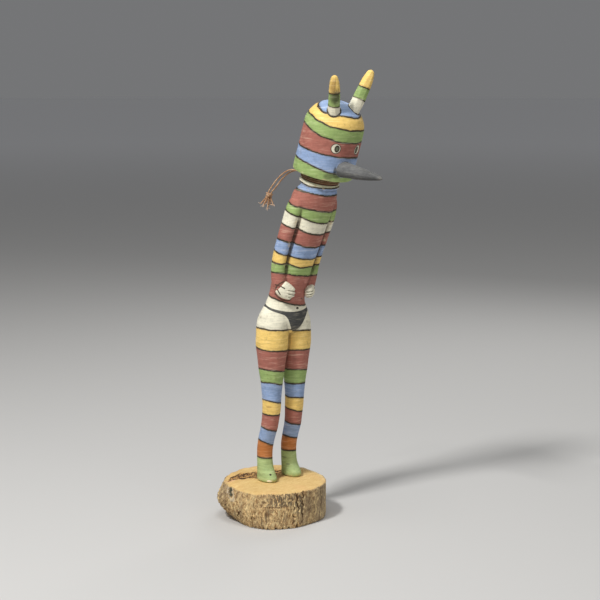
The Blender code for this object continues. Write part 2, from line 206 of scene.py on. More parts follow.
def soft_noise(points, lengths, seed, waves=24):
    """A smooth random field from -1 to 1: the mean of sine waves in random directions, each with a
    length near the one given for its axis, in metres."""
    rng = np.random.default_rng(seed)
    directions = unit(rng.normal(size=(waves, 3)))
    pace = directions * 2 * math.pi / np.asarray(lengths, float) * rng.uniform(0.7, 1.4, (waves, 1))
    phase = rng.uniform(0, 2 * math.pi, waves)
    return np.sin(points @ pace.T + phase).mean(1) * math.sqrt(waves) / 1.6


# %% [markdown]
# ## Shader helpers
#
# A material is a small tree of nodes. One helper adds a node with its settings and inputs, where an
# input is either a number or the output of another node, so that a tree reads from top to bottom.
# An effect that several finishes share is a node group with named sockets.

# %% Node helpers
def set_inputs(tree, node, inputs):
    """Gives a node's inputs values, or links them to other nodes' outputs. A colour gets its alpha here."""
    for name, value in (inputs or {}).items():
        socket = node.inputs[name]
        if isinstance(value, bpy.types.NodeSocket):
            tree.links.new(value, socket)
        else:
            socket.default_value = (*value[:3], 1.0) if socket.type == "RGBA" else value


def add(tree, kind, inputs=None, **settings):
    """A node of the tree with its settings and inputs."""
    made = tree.nodes.new("ShaderNode" + kind)
    for name, value in settings.items():
        setattr(made, name, value)
    set_inputs(tree, made, inputs)
    return made


def maths(tree, operation, *values):
    """The result of a Math node on one, two or three values."""
    return add(tree, "Math", dict(enumerate(values)), operation=operation).outputs[0]


def times(tree, a, b, plus=0.0):
    """a times b, plus a third value."""
    return maths(tree, "MULTIPLY_ADD", a, b, plus)


def vectors(tree, operation, output, *values):
    """One output of a Vector Math node on one or two vectors."""
    return add(tree, "VectorMath", dict(enumerate(values)), operation=operation).outputs[output]


def blend(tree, factor, a, b, blend_type="MIX"):
    """Two colours mixed by a factor, 0 for the first and 1 for the second."""
    inputs = {0: factor, 6: a, 7: b}
    made = add(tree, "Mix", inputs, data_type="RGBA", blend_type=blend_type, clamp_factor=True)
    return made.outputs[2]


def between(tree, value, low, high, to_low=0.0, to_high=1.0):
    """A value carried from one range to another and held inside it, with soft ends."""
    inputs = {"Value": value, "From Min": low, "From Max": high, "To Min": to_low, "To Max": to_high}
    return add(tree, "MapRange", inputs, interpolation_type="SMOOTHSTEP").outputs["Result"]


def coat(tree, colour, value, start, full, tint, strength=1.0, blend_type="MIX"):
    """The colour under a tint that goes from nothing, where a value is at the start, to its strength."""
    return blend(tree, between(tree, value, start, full, 0.0, strength), colour, tint, blend_type)


def object_place(tree, scale=(1.0, 1.0, 1.0), turn=(0.0, 0.0, 0.0)):
    """Object coordinates, stretched and turned."""
    place = add(tree, "TexCoord").outputs["Object"]
    return add(tree, "Mapping", {"Vector": place, "Scale": scale, "Rotation": turn}).outputs["Vector"]


def noise(tree, scale, detail=3.0, roughness=0.5, turn=(0.0, 0.0, 0.0), vector=None):
    """A noise value from 0 to 1, over object coordinates unless a vector is given. The scale is one
    number, or one for each axis, and then the coordinates may be turned too."""
    one = not isinstance(scale, tuple)
    if vector is None:
        vector = object_place(tree) if one else object_place(tree, scale, turn)
    inputs = {"Vector": vector, "Scale": scale if one else 1.0, "Detail": detail, "Roughness": roughness}
    return add(tree, "TexNoise", inputs).outputs["Fac"]


def attribute(tree, name):
    """A float attribute of the mesh."""
    return add(tree, "Attribute", attribute_name=name).outputs["Fac"]


def new_group(name, inputs, outputs):
    """A node group with named sockets: inputs with their starting values and outputs with their kinds."""
    group = bpy.data.node_groups.new(name, "ShaderNodeTree")
    for title, value in inputs.items():
        kind = {3: "Vector", 4: "Color"}[len(value)] if isinstance(value, tuple) else "Float"
        socket = group.interface.new_socket(title, in_out="INPUT", socket_type="NodeSocket" + kind)
        socket.default_value = value
    for title, kind in outputs.items():
        group.interface.new_socket(title, in_out="OUTPUT", socket_type="NodeSocket" + kind)
    return group, group.nodes.new("NodeGroupInput").outputs, group.nodes.new("NodeGroupOutput")


def use(tree, group, inputs=None):
    """The outputs of a group placed in a tree."""
    made = tree.nodes.new("ShaderNodeGroup")
    made.node_tree = group
    set_inputs(tree, made, inputs)
    return made.outputs


def new_material(name, roughness=0.7):
    """A material with an empty tree but for its Principled shader and output."""
    material = bpy.data.materials.new(name)
    material.use_nodes = True
    shader = material.node_tree.nodes["Principled BSDF"]
    set_inputs(material.node_tree, shader, {"Roughness": roughness, "Specular IOR Level": 0.3})
    return material, material.node_tree, shader


def finish_shader(tree, shader, colour, height=None, roughness=None, distance=0.0004, strength=0.6):
    """Links a colour, a roughness and a bump height into the shader."""
    inputs = {"Base Color": colour}
    if roughness is not None:
        inputs["Roughness"] = roughness
    if height is not None:
        bump = add(tree, "Bump", {"Height": height, "Strength": strength, "Distance": distance})
        inputs["Normal"] = bump.outputs["Normal"]
    set_inputs(tree, shader, inputs)


def rgb(red, green, blue):
    """A colour given in screen values, 0 to 255, as the linear numbers that shaders use."""
    value = np.array([red, green, blue]) / 255
    return tuple(np.where(value <= 0.04045, value / 12.92, ((value + 0.055) / 1.055) ** 2.4).tolist())


# %% [markdown]
# ## Shared finishes
#
# *Brushed paint* is matte mineral paint put on with a small stiff brush: the streaks run across the
# carving, the colour is thin in places and the wood's tone comes through. *Shaky hand* moves an edge to
# and fro by a fraction of a millimetre, as a line drawn by hand does. *Spot* is a soft round mark at one
# place. *Wood fibre* is bare wood with long thin fibres. They are used by several materials, so each is
# built once.

# %% Shared node groups
brushed_paint, inside, out = new_group(
    "brushed paint", {"Colour": (0.8, 0.8, 0.8, 1.0), "Streaks": 0.5, "Chalk": 0.4, "Dirt": 0.3},
    {"Colour": "Color", "Roughness": "Float", "Height": "Float"})
tree = brushed_paint
streak = noise(tree, (42.0, 42.0, 420.0), 4.0, 0.62, (0.26, 0.05, 0.0))
bristle = noise(tree, (110.0, 110.0, 1500.0), 3.0, 0.6, (0.20, -0.08, 0.0))
cloud = noise(tree, 105.0, 4.0, 0.6)
blotch = noise(tree, 330.0, 4.0, 0.65)
tone = 1.0
for value, strength in ((streak, inside["Streaks"]), (bristle, 0.56), (cloud, 0.62), (blotch, 0.50)):
    tone = times(tree, maths(tree, "SUBTRACT", value, 0.5), strength, tone)
grey = add(tree, "CombineColor", {0: tone, 1: tone, 2: tone}).outputs[0]
shaded = blend(tree, 1.0, inside["Colour"], grey, "MULTIPLY")
thin = times(tree, between(tree, maths(tree, "ADD", streak, bristle), 1.02, 1.35), inside["Chalk"])
shaded = blend(tree, thin, shaded, rgb(236, 226, 200))
soiled = times(tree, between(tree, maths(tree, "ADD", cloud, blotch), 1.04, 1.40), inside["Dirt"])
both = times(tree, bristle, 0.45, times(tree, blotch, 0.35))
set_inputs(tree, out, {
    "Colour": blend(tree, soiled, shaded, rgb(92, 74, 52)),
    "Roughness": between(tree, cloud, 0.3, 0.7, 0.62, 0.80), "Height": times(tree, streak, 0.4, both)})

shaky_hand, inside, out = new_group("shaky hand", {"Reach": 1.0}, {"Offset": "Float"})
tree = shaky_hand
slow, quick = (maths(tree, "SUBTRACT", noise(tree, scale, 2.0), 0.5) for scale in (110.0, 520.0))
set_inputs(tree, out, {"Offset": times(tree, times(tree, quick, 0.35, slow), inside["Reach"])})

spot, inside, out = new_group(
    "spot", {"Centre": (0.0, 0.0, 0.0), "Size": (0.001, 0.001, 0.001), "Soft": 0.25}, {"Mask": "Float"})
tree = spot
away = vectors(tree, "SUBTRACT", 0, object_place(tree), inside["Centre"])
reach = vectors(tree, "LENGTH", "Value", vectors(tree, "DIVIDE", 0, away, inside["Size"]))
ragged = times(tree, noise(tree, 900.0, 2.0), 0.5, reach)
set_inputs(tree, out, {"Mask": between(tree, ragged, maths(tree, "ADD", inside["Soft"], 1.1), 1.1)})

wood_fibre, inside, out = new_group(
    "wood fibre", {"Light": (0.8, 0.6, 0.4, 1.0), "Dark": (0.2, 0.1, 0.05, 1.0),
                   "Vector": (0.0, 0.0, 0.0), "Contrast": 1.0}, {"Colour": "Color", "Height": "Float"})
tree = wood_fibre
wide = noise(tree, 1.0, 5.0, 0.65, vector=inside["Vector"])
fine = noise(tree, 3.7, 4.0, 0.6, vector=inside["Vector"])
mixed = times(tree, fine, 0.45, times(tree, wide, 0.55))
shade = times(tree, maths(tree, "SUBTRACT", mixed, 0.5), inside["Contrast"], 0.5)
set_inputs(tree, out, {
    "Colour": blend(tree, between(tree, shade, 0.25, 0.75), inside["Dark"], inside["Light"]),
    "Height": mixed})


def with_spots(tree, colour, spots):
    """A colour with soft marks, each a centre, half sizes, softness, tint and strength."""
    for centre, size, soft, tint, strength in spots:
        mask = use(tree, spot, {"Centre": centre, "Size": size, "Soft": soft})["Mask"]
        colour = blend(tree, times(tree, mask, strength), colour, tint)
    return colour


def finish_paint(tree, shader, colour, streaks, chalk, dirt, distance, strength=0.5):
    """Brushes a colour on and links it into the shader."""
    painted = use(tree, brushed_paint, {"Colour": colour, "Streaks": streaks, "Chalk": chalk, "Dirt": dirt})
    finish_shader(tree, shader, painted["Colour"], painted["Height"], painted["Roughness"],
                  distance, strength)


print("node groups:", [group.name for group in bpy.data.node_groups])

# %% [markdown]
# ## Twine: material and cords
#
# Two strands of thin brown twine leave the neck behind the mask, arch over and hang down to a knot. The
# photograph shows them from end to end, so their length is the route's own. Each strand is two plies
# twisted together: a tube whose outline has two lobes that turn as they go along. The route's points are
# those of the frame's solids.

# %% Twine material
twine_finish, tree, shader = new_material("twisted twine", 0.85)
fibres = noise(tree, 1500.0, 4.0, 0.7)
patches = noise(tree, 160.0, 2.0)
ply = attribute(tree, "ply")
brown = blend(tree, between(tree, fibres, 0.3, 0.7), rgb(136, 90, 60), rgb(206, 166, 128))
brown = coat(tree, brown, patches, 0.42, 0.66, rgb(222, 190, 156), 0.55)
# Painted shade in the crevice between the two plies; ply values above 1 are the pale fibre ends.
brown = coat(tree, brown, ply, 0.42, 0.0, rgb(84, 48, 30), 0.7)
brown = coat(tree, brown, ply, 1.0, 2.0, rgb(226, 208, 188))
# Painted shade: the twine round the neck lies under the mask and is darkened.
brown = blend(tree, times(tree, attribute(tree, "shade_under_mask"), 0.55), brown, rgb(66, 38, 26))
finish_shader(tree, shader, brown, fibres, distance=0.0002, strength=0.9)


# %% Twine strands
def twisted_tube(path, radius, turn_length, out, sides=16):
    """Rings about a path. A ring's radius is the twine's radius times 0.80 + 0.20 |cos|, which swells
    once for each of two plies, and the pattern turns once for each turn length along the path."""
    path = np.asarray(path, float)
    tangent = unit(np.gradient(path, axis=0))
    out = np.tile(out, (len(path), 1)) if np.ndim(out) == 1 else out
    out = unit(out - (out * tangent).sum(1)[:, None] * tangent)
    side = np.cross(out, tangent)
    gone = np.concatenate([[0], np.cumsum(np.linalg.norm(np.diff(path, axis=0), axis=1))])
    angle = np.arange(sides) * 2 * math.pi / sides
    lobe = np.abs(np.cos(angle[None, :] - 2 * math.pi * gone[:, None] / turn_length))
    ends = np.clip(np.minimum(gone, gone[-1] - gone) / (0.6 * radius), 0.25, 1.0)[:, None]
    reach = radius * ends * (0.80 + 0.20 * lobe)
    return rings_about(path, reach, angle, side[:, None, :], out[:, None, :]), lobe


# The twine's thickness, the length of one turn of its twist, and each strand's length with what is in the
# knot. The visual twine is a little thicker, because its outline is hollow between the plies.
TWINE_DIAMETER, TWIST_LENGTH, STRAND_LENGTH = 0.0013, 0.0034, 0.047
SWOLLEN = 1.08
STRAND_RIGHT_ROUTE = [
    (-0.00685, 0.01626, 0.0032), (-0.0079, 0.0188, 0.0041), (-0.0089, 0.0219, 0.0048),
    (-0.0098, 0.0250, 0.0052), (-0.0108, 0.0282, 0.0052), (-0.0119, 0.0316, 0.0043),
    (-0.0124, 0.0333, 0.0035), (-0.0130, 0.0351, 0.0025), (-0.0140, 0.0386, 0.0001),
    (-0.0150, 0.0419, -0.0028), (-0.0155, 0.0434, -0.0044), (-0.0159, 0.0449, -0.0060),
    (-0.0167, 0.0475, -0.0092), (-0.0174, 0.0497, -0.0122), (-0.0179, 0.0512, -0.0142)]
STRAND_LEFT_ROUTE = [
    (-0.00535, 0.01672, 0.0035), (-0.0063, 0.0194, 0.0042), (-0.0071, 0.0222, 0.0046),
    (-0.0079, 0.0254, 0.0046), (-0.0089, 0.0286, 0.0039), (-0.0100, 0.0320, 0.0024),
    (-0.0105, 0.0336, 0.0014), (-0.0110, 0.0353, 0.0003), (-0.0120, 0.0385, -0.0025),
    (-0.0125, 0.0400, -0.0040), (-0.0129, 0.0414, -0.0055), (-0.0137, 0.0440, -0.0086),
    (-0.0145, 0.0464, -0.0114), (-0.0153, 0.0486, -0.0138), (-0.0159, 0.0502, -0.0152)]


def twine_piece(name, path, out, node, shade_under_mask=0.0):
    """A twisted tube along a path as a finished piece, darkened by painted shade where it lies under the
    mask.
    """
    rings, lobe = twisted_tube(path, SWOLLEN * TWINE_DIAMETER / 2, TWIST_LENGTH, out)
    points, faces = joined_grids([rings])
    ply_values = np.concatenate([lobe.ravel(), [0.5, 0.5]])
    return make_piece(name, points, faces, twine_finish,
                      {"ply": ply_values, "shade_under_mask": np.full(len(points), shade_under_mask)}, [node])


for label, route in (("right", STRAND_RIGHT_ROUTE), ("left", STRAND_LEFT_ROUTE)):
    path = smooth_rows(NECK_MIDDLE + np.array(route), 170)
    name = "strand_" + label
    twine_piece(name, path, LEFT, "twine_strand_" + label)
    print(name, "is", round(float(np.linalg.norm(np.diff(path, axis=0), axis=1).sum()), 4), "m long")

# %% [markdown]
# ## Knot
#
# The two strands are tied in one small knot, and below it the loose ends fray. The knot is twine wound
# round a short core; each loose end is a handful of thin fibres that stay together at first and spread
# near their tips.

# %% Knot and frayed ends
KNOT = NECK_MIDDLE + (-0.0170, 0.0524, -0.0180)
TAIL_ENDS = np.array([
    (-0.0051, 0.0066, -0.0086), (-0.0052, 0.0030, -0.0104), (-0.0030, 0.0024, -0.0086),
    (-0.0010, 0.0012, -0.0138), (0.0018, 0.0006, -0.0092), (0.0036, -0.0022, -0.0098)])
rng = np.random.default_rng(7)
# Radii of the twine in the knot and in its tails, of the strands' ends, and of the thinnest and thickest
# loose fibre; how many fibres a tail has; and a fibre's ply value, which sets its colour.
KNOT_RADIUS, END_RADIUS, FIBRE_RADII = 0.00070, 0.00078, (0.00019, 0.00029)
FIBRES, FIBRE_PLY = 9, 0.85
FIBRE_OUT = np.array([1.0, 0.2, 0.0])


def winding(centre, axis, radii, turns, rise, start, count):
    """A short oval coil: the angle goes evenly round the axis while the path rises along it."""
    axis = unit(axis)
    first = unit(np.cross(axis, AWAY))
    second = np.cross(axis, first)
    angle = start + np.linspace(0, 2 * math.pi * turns, count)
    climb = np.linspace(-0.5, 0.5, count) * rise
    return (centre + radii[0] * np.cos(angle)[:, None] * first + radii[1] * np.sin(angle)[:, None] * second
            + climb[:, None] * axis)


knot_parts, knot_ply = [], []


def add_to_knot(path, radius, out, pale=0.0):
    """One twisted length of the knot; pale is added to its ply value towards its far end."""
    rings, lobe = twisted_tube(path, radius, TWIST_LENGTH, out, sides=12)
    share = np.linspace(0, 1, len(path))[:, None] ** 3 * pale
    knot_parts.append(rings)
    knot_ply.append(np.concatenate([(lobe + share).ravel(), [0.5, 0.5 + pale]]))


for shift, axis, radii, turns, rise, start in (
        ((0.0000, 0.0000, 0.0004), (0.35, -0.30, 1.0), (0.00255, 0.00150), 1.6, 0.0022, 0.4),
        ((0.0003, -0.0002, -0.0002), (-0.45, 0.35, 1.0), (0.00235, 0.00165), 1.4, 0.0020, 2.6),
        ((0.0000, 0.0000, 0.0000), (1.0, -0.7, 0.5), (0.00150, 0.00150), 1.2, 0.0016, 1.2)):
    add_to_knot(winding(KNOT + shift, axis, radii, turns, rise, start, 90), KNOT_RADIUS, unit(axis))
for route, lean in ((STRAND_RIGHT_ROUTE, -0.0006), (STRAND_LEFT_ROUTE, 0.0012)):
    inside_knot = smooth_rows([np.array(route[-1]) + NECK_MIDDLE, KNOT + (lean, -lean, 0.0010),
                               KNOT + (lean * 0.5, -lean * 0.5, -0.0014)], 30)
    add_to_knot(inside_knot, END_RADIUS, LEFT)

for end in TAIL_ENDS:
    side = unit(np.cross(end, AWAY))
    aside = end @ view_right
    start = 0.10 * end + 0.0016 * side * np.sign(aside) * min(1.0, abs(aside) / 0.004)
    body = smooth_rows([start, 0.40 * end + (0, 0, 0.0004), 0.72 * end, 0.84 * end], 26)
    add_to_knot(KNOT + body, KNOT_RADIUS, FIBRE_OUT, 0.4)
    for _ in range(FIBRES):
        spread = rng.normal(size=3) * (0.0010, 0.0010, 0.0006)
        early = rng.normal(size=3) * 0.00018
        reach = rng.uniform(0.90, 1.04)
        fibre = smooth_rows([end * 0.60 + early, end * 0.80 + early, end * 0.90 + 0.4 * spread,
                             end * reach + spread], 14)
        fibre += np.cumsum(rng.normal(size=fibre.shape) * 0.00004, axis=0)
        rings, lobe = twisted_tube(KNOT + fibre, rng.uniform(*FIBRE_RADII), 0.002, FIBRE_OUT, sides=6)
        knot_parts.append(rings)
        pale = np.linspace(0.1, 0.75, 14)[:, None]
        knot_ply.append(np.concatenate([(FIBRE_PLY + pale + 0 * lobe).ravel(), [1.0, 1.6]]))
points, faces = joined_grids(knot_parts)
knot = make_piece("frayed_knot", points, faces, twine_finish, {"ply": np.concatenate(knot_ply)},
                  ["twine_knot"])

# %% Twine round the neck
TWINE_TURNS, TWINE_GAP = 2, 0.0003
angle = math.radians(200) + np.linspace(0, TWINE_TURNS * 2 * math.pi - math.radians(14), 620)
wrap_radius = NECK_RADIUS + TWINE_GAP + TWINE_DIAMETER / 2
climb = (TWINE_DIAMETER + TWINE_GAP) * np.linspace(-TWINE_TURNS / 2, TWINE_TURNS / 2 - 0.04, 620)
path = (NECK_MIDDLE + wrap_radius * (np.cos(angle)[:, None] * MASK_FRONT + np.sin(angle)[:, None] * MASK_LEFT)
        + climb[:, None] * MASK_AXIS)
# The last value darkens this wrap as painted shade under the mask.
twine_piece("neck_wrap", path, MASK_AXIS, "neck_twine", 1.0)

# %% [markdown]
# ## The carved figure
#
# Mask, neck, body, arms and legs are one piece of wood. Each form is first a column of ovals along its
# own rows of measures. The columns overlap, so a fine voxel grid fuses them into one skin, which is then
# smoothed a little, as sandpaper would do. Voxels suit it because the forms run into each other with soft
# hollows, which a Boolean would leave as hard seams.

# %% Rows of measures
# Height, left of the origin, forward, half width and half depth of the body, in thousandths.
BODY_ROWS = np.array([
    (384, 25.2, 15.8, 6, 8), (398, 25.2, 15.8, 27, 33), (412, 25.4, 16, 50, 45.5),
    (425, 25.6, 16.5, 67, 49.5), (438, 25.9, 17.4, 72, 50), (450, 26.1, 18.2, 69.5, 49),
    (465, 26.8, 19.9, 61, 45.3), (481, 27.9, 21.7, 53.5, 42), (504, 30.5, 27.3, 50.5, 41.5),
    (528, 33.7, 32.8, 51.5, 43), (575, 40.5, 43.5, 53, 46), (628, 50, 58, 54, 48),
    (680, 59.4, 72.2, 55, 50), (708, 63.6, 79.4, 57.5, 50.5), (733, 66.4, 84.8, 62.5, 51),
    (756, 69.2, 89.6, 63, 50.5), (773, 71.2, 92.4, 56.5, 48), (784, 74, 95.8, 46, 43),
    (794, 77, 99.6, 42, 40), (806, 79.6, 103.4, 40, 38)])
# Height, out from the middle between the legs, forward, half width and half depth of a leg.
LEG_ROWS = np.array([
    (0, 43.7, -4.4, 20.2, 31), (3.5, 43.7, -4.4, 21.6, 33), (10, 43.4, -4.6, 21.8, 33.2),
    (20, 43.1, -7.6, 21.5, 28.6), (32, 42.6, -11.7, 21.2, 23.6), (45, 42.2, -14.1, 20.8, 21.2),
    (67, 41.9, -15.2, 20.6, 20.6), (89, 41.6, -13.5, 21.1, 21.1), (116, 41.1, -5.9, 21.7, 21.7),
    (142, 40.2, 3.5, 22.6, 22.6), (169, 39, 8.8, 23.2, 23.2), (195, 38.1, 12.3, 24.3, 24.3),
    (223, 38.1, 13.5, 25, 25), (248, 38.1, 13.8, 27, 27), (274, 38.1, 14.1, 30, 30.2),
    (299, 38.1, 14.4, 34, 34.4), (325, 38.1, 14.7, 36.7, 37.5), (364, 38.1, 15.2, 41.5, 43),
    (393, 37, 15.8, 41.5, 44.5), (414, 35.6, 16, 41.2, 46), (430, 33.2, 16.6, 40.2, 47),
    (446, 30, 17.6, 37, 44.5), (462, 26, 19, 31, 38), (476, 22, 21, 22, 28)])
LEG_MIDDLE = 25.8
# Height, out from the body's middle line, forward of it, half width and half depth of an arm.
ARM_ROWS = np.array([
    (504, 43.5, 30, 9, 11), (513, 46.4, 24.5, 14.5, 16), (530, 49.2, 17, 18, 19),
    (551, 51.6, 10.2, 19, 20.8), (578, 54, 4.4, 19.5, 22.4), (612, 56.2, 0.5, 19.7, 23.6),
    (650, 57.8, 0, 19.7, 24.6), (690, 58.5, 0, 19.5, 25.5), (722, 57, -0.5, 18.5, 26),
    (746, 52.5, -1.5, 16, 24), (758, 46, -2, 11, 18)])


def leg_rows(side):
    """One leg's rows with its true place; the right foot stands a little ahead of the left."""
    height, out, forward, wide, deep = LEG_ROWS.T
    stride = 3.8 * np.maximum(0.0, 1.0 - height / 250.0)
    return np.stack([height, LEG_MIDDLE + side * out, forward - side * stride, wide, deep], 1)


def arm_rows(side):
    """One arm's rows with its true place, beside the body's middle line."""
    height, out, forward, wide, deep = ARM_ROWS.T
    left = np.interp(height, BODY_ROWS[:, 0], BODY_ROWS[:, 1]) + side * out
    ahead_of_body = np.interp(height, BODY_ROWS[:, 0], BODY_ROWS[:, 2]) + forward
    return np.stack([height, left, ahead_of_body, wide, deep], 1)


FORMS = {"body": BODY_ROWS, "right leg": leg_rows(-1), "left leg": leg_rows(1),
         "right arm": arm_rows(-1), "left arm": arm_rows(1)}


# %% Columns and turned forms
def oval_rings(centres, across, back, half_widths, half_depths, sides):
    """Ovals: centre + half width times cos(angle) across + half depth times sin(angle) back."""
    angle = np.arange(sides) * 2 * math.pi / sides
    return (centres[:, None, :] + half_widths[:, None, None] * np.cos(angle)[None, :, None] * across
            + half_depths[:, None, None] * np.sin(angle)[None, :, None] * back)


def column(rows, sides=72, levels=150):
    """A form through rows of height, left, forward, half width and half depth."""
    height, left, forward, wide, deep = (smooth_rows(rows, levels) * SHARE).T
    centres = np.stack([left, -forward, height + SOLES], 1)
    return oval_rings(centres, LEFT, np.array([0.0, 1.0, 0.0]), wide, deep, sides)


def turned(profile, foot, sides=96):
    """A profile of (radius, height) carried round the mask's axis."""
    radius, height = np.asarray(profile, float).T
    return oval_rings(foot + height[:, None] * MASK_AXIS, MASK_LEFT, -MASK_FRONT, radius, radius, sides)


def mask_profile():
    """Flat underside with a small round edge, straight wall, and a dome: a quarter oval whose powers of
    0.93 make its shoulder a little squarer."""
    rise = np.radians(np.linspace(0, 89.5, 48))
    dome = np.stack([MASK_RADIUS * np.cos(rise) ** 0.93, MASK_WALL + MASK_DOME * np.sin(rise) ** 0.93], 1)
    turn = np.radians(np.linspace(0, 90, 8))
    edge = np.stack([MASK_RADIUS - MASK_EDGE * (1 - np.sin(turn)), MASK_EDGE * (1 - np.cos(turn))], 1)
    return np.vstack([edge, [(MASK_RADIUS, 0.5 * MASK_WALL)], dome])


COLLAR_RADIUS, COLLAR_DEPTH, COLLAR_EDGE = np.array([52.0, 10.0, 1.8]) * SHARE
collar_low, collar_high = -NECK_LENGTH - COLLAR_DEPTH, -NECK_LENGTH
neck_profile = [
    (COLLAR_RADIUS - COLLAR_EDGE, collar_low), (COLLAR_RADIUS, collar_low + COLLAR_EDGE),
    (COLLAR_RADIUS, collar_high - COLLAR_EDGE), (COLLAR_RADIUS - COLLAR_EDGE, collar_high),
    (NECK_RADIUS, collar_high), (NECK_RADIUS, 2 * MASK_EDGE)]
figure_grids = [column(rows) for rows in FORMS.values()]
figure_grids.append(turned(neck_profile, NECK_FOOT))
# The mask's upper part stands a millimetre nearer the viewer's right than its foot.
sway = 0.0010 * rising(mask_profile()[:, 1] / MM, 8, 24)
figure_grids.append(turned(mask_profile(), MASK_FOOT) + sway[:, None, None] * view_right)
print(len(figure_grids), "forms to fuse")


# %% Fuse and smooth
def fused(grids, voxel):
    """The outer skin of overlapping closed grids, as points and quads, from Blender's voxel remesh."""
    points, faces = joined_grids(grids)
    mesh = bpy.data.meshes.new("forms")
    mesh.from_pydata(points.tolist(), [], faces)
    forms = bpy.data.objects.new("forms", mesh)
    scene.collection.objects.link(forms)
    change = forms.modifiers.new("fuse", "REMESH")
    change.mode = "VOXEL"
    change.voxel_size = voxel
    skin = bpy.data.meshes.new_from_object(forms.evaluated_get(bpy.context.evaluated_depsgraph_get()))
    corners = np.empty(len(skin.loops), np.int32)
    skin.loops.foreach_get("vertex_index", corners)
    place = np.empty(len(skin.vertices) * 3, np.float32)
    skin.vertices.foreach_get("co", place)
    bpy.data.objects.remove(forms)
    bpy.data.meshes.remove(mesh)
    bpy.data.meshes.remove(skin)
    return place.reshape(-1, 3).astype(float), corners.reshape(-1, 4)


def neighbours(quads, count):
    """Both ends of every edge, and how many edges meet at each point."""
    ends = np.concatenate([quads[:, [0, 1]], quads[:, [1, 2]], quads[:, [2, 3]], quads[:, [3, 0]]])
    ends = np.unique(np.sort(ends, axis=1), axis=0)
    return ends, np.bincount(ends.ravel(), minlength=count)


def mean_of_neighbours(values, ends, meets):
    """At each point, the mean of the values at the points that an edge joins it to."""
    total = np.stack([np.bincount(ends[:, 0], values[ends[:, 1], k], len(meets))
                      + np.bincount(ends[:, 1], values[ends[:, 0], k], len(meets))
                      for k in range(values.shape[1])], 1)
    return total / meets[:, None]


def sanded(points, quads, rounds, strength=0.5):
    """Each round moves points towards the mean of their neighbours, then a little less back, so that
    bumps go and the volume stays (Taubin smoothing)."""
    ends, meets = neighbours(quads, len(points))
    for _ in range(rounds):
        points = points + strength * (mean_of_neighbours(points, ends, meets) - points)
        points = points - 1.04 * strength * (mean_of_neighbours(points, ends, meets) - points)
    return points


def normals_of(points, quads):
    """Unit normals: the sum of each point's faces' area vectors."""
    a, b, c, d = (points[quads[:, k]] for k in range(4))
    area = np.cross(c - a, d - b)
    total = np.stack([np.bincount(quads.ravel(), np.repeat(area[:, k], 4), len(points)) for k in range(3)], 1)
    return unit(total)


FIGURE_VOXEL, SANDING_ROUNDS = 0.00084, 6
figure, figure_quads = fused(figure_grids, FIGURE_VOXEL)
figure = sanded(figure, figure_quads, SANDING_ROUNDS)
print("figure skin:", len(figure), "points,", 2 * len(figure_quads), "triangles")

# %% [markdown]
# ## Whittling
#
# A knife leaves long shallow facets and deeper cuts. The facets are a soft noise, stretched along the
# grain of the wood, that moves the skin by about a tenth of a millimetre. The arms stand out from the
# body by a V-cut along each side. How far a point is from an arm's oval and from the body's oval says
# where that cut runs.

# %% Whittling
def distance_to(points, rows):
    """Roughly how far each point is outside a form, in metres, with its angle about the form's middle:
    the point's oval radius minus one, times the mean half width. Angle 0 is the front, + the left."""
    height = (points[:, 2] - SOLES) / SHARE
    left, forward, wide, deep = (np.interp(height, rows[:, 0], rows[:, k]) for k in range(1, 5))
    across = points[:, 0] / SHARE - left
    ahead_of = -points[:, 1] / SHARE - forward
    radius = np.hypot(across / wide, ahead_of / deep)
    return (radius - 1) * np.sqrt(wide * deep) * SHARE, np.arctan2(across, ahead_of), height


# Each cut: the two forms it parts, its lowest and highest height in thousandths, how fast it fades, and
# how wide it is.
CUTS = [("right arm", "body", 548, 726, 34, 1.0), ("left arm", "body", 546, 706, 30, 1.7),
        ("right leg", "left leg", 226, 410, 10, 1.0)]
groove = np.full(len(figure), FAR)
valley = np.zeros(len(figure))
for one, other, lowest_cut, highest_cut, fade, wide in CUTS:
    from_one, _, height = distance_to(figure, FORMS[one])
    from_other, _, _ = distance_to(figure, FORMS[other])
    away = np.hypot(from_one, from_other) / wide
    held = rising(height, lowest_cut, 16) * rising(highest_cut, height, fade)
    depth = 0.0013 * np.exp(-(away / 0.0010) ** 2) + 0.0007 * np.exp(-(away / 0.0030) ** 2)
    valley = np.maximum(valley, held * depth)
    groove = np.minimum(groove, away + (1 - held) * 0.003 + 0.1 * (held <= 0))
normals = normals_of(figure, figure_quads)
figure = figure - valley[:, None] * normals

FACET_DEPTH = 0.00009
facets = soft_noise(figure, (0.007, 0.007, 0.034), 3) + 0.5 * soft_noise(figure, (0.0035, 0.0035, 0.012), 5)
figure = figure + FACET_DEPTH * facets[:, None] * normals
_, body_angle, height = distance_to(figure, FORMS["body"])
print("points in the cuts:", int((groove < 0.001).sum()))

# %% [markdown]
# ## Where the paint lines run
#
# Every stripe ends at a dark line drawn freehand round the form, so no line is quite level. A line is
# a row of heights at seven angles round the form, 0 in front and 180 behind, and a smooth closed curve
# goes through them. From the lines a point gets one number: the whole part counts the stripes passed,
# and the rest says how far across its stripe the point is.

# %% Lines round the forms
LINE_ANGLES = np.array([-100.0, -65, -25, 10, 55, 100, 180])
# Heights above the mask's foot, in millimetres, from the lowest line up.
MASK_LINES = np.array([
    (11.4, 10.4, 7.6, 7.2, 8.2, 9.5, 11.0), (22.4, 22.3, 22.5, 22.3, 21.2, 21.5, 22.8),
    (41.2, 37.7, 35.7, 35.3, 35.7, 38.0, 41.0), (50.6, 48.2, 46.5, 46.4, 45.7, 47.5, 50.5),
    (58.6, 56.2, 57.1, 56.3, 57.6, 58.5, 60.8)])
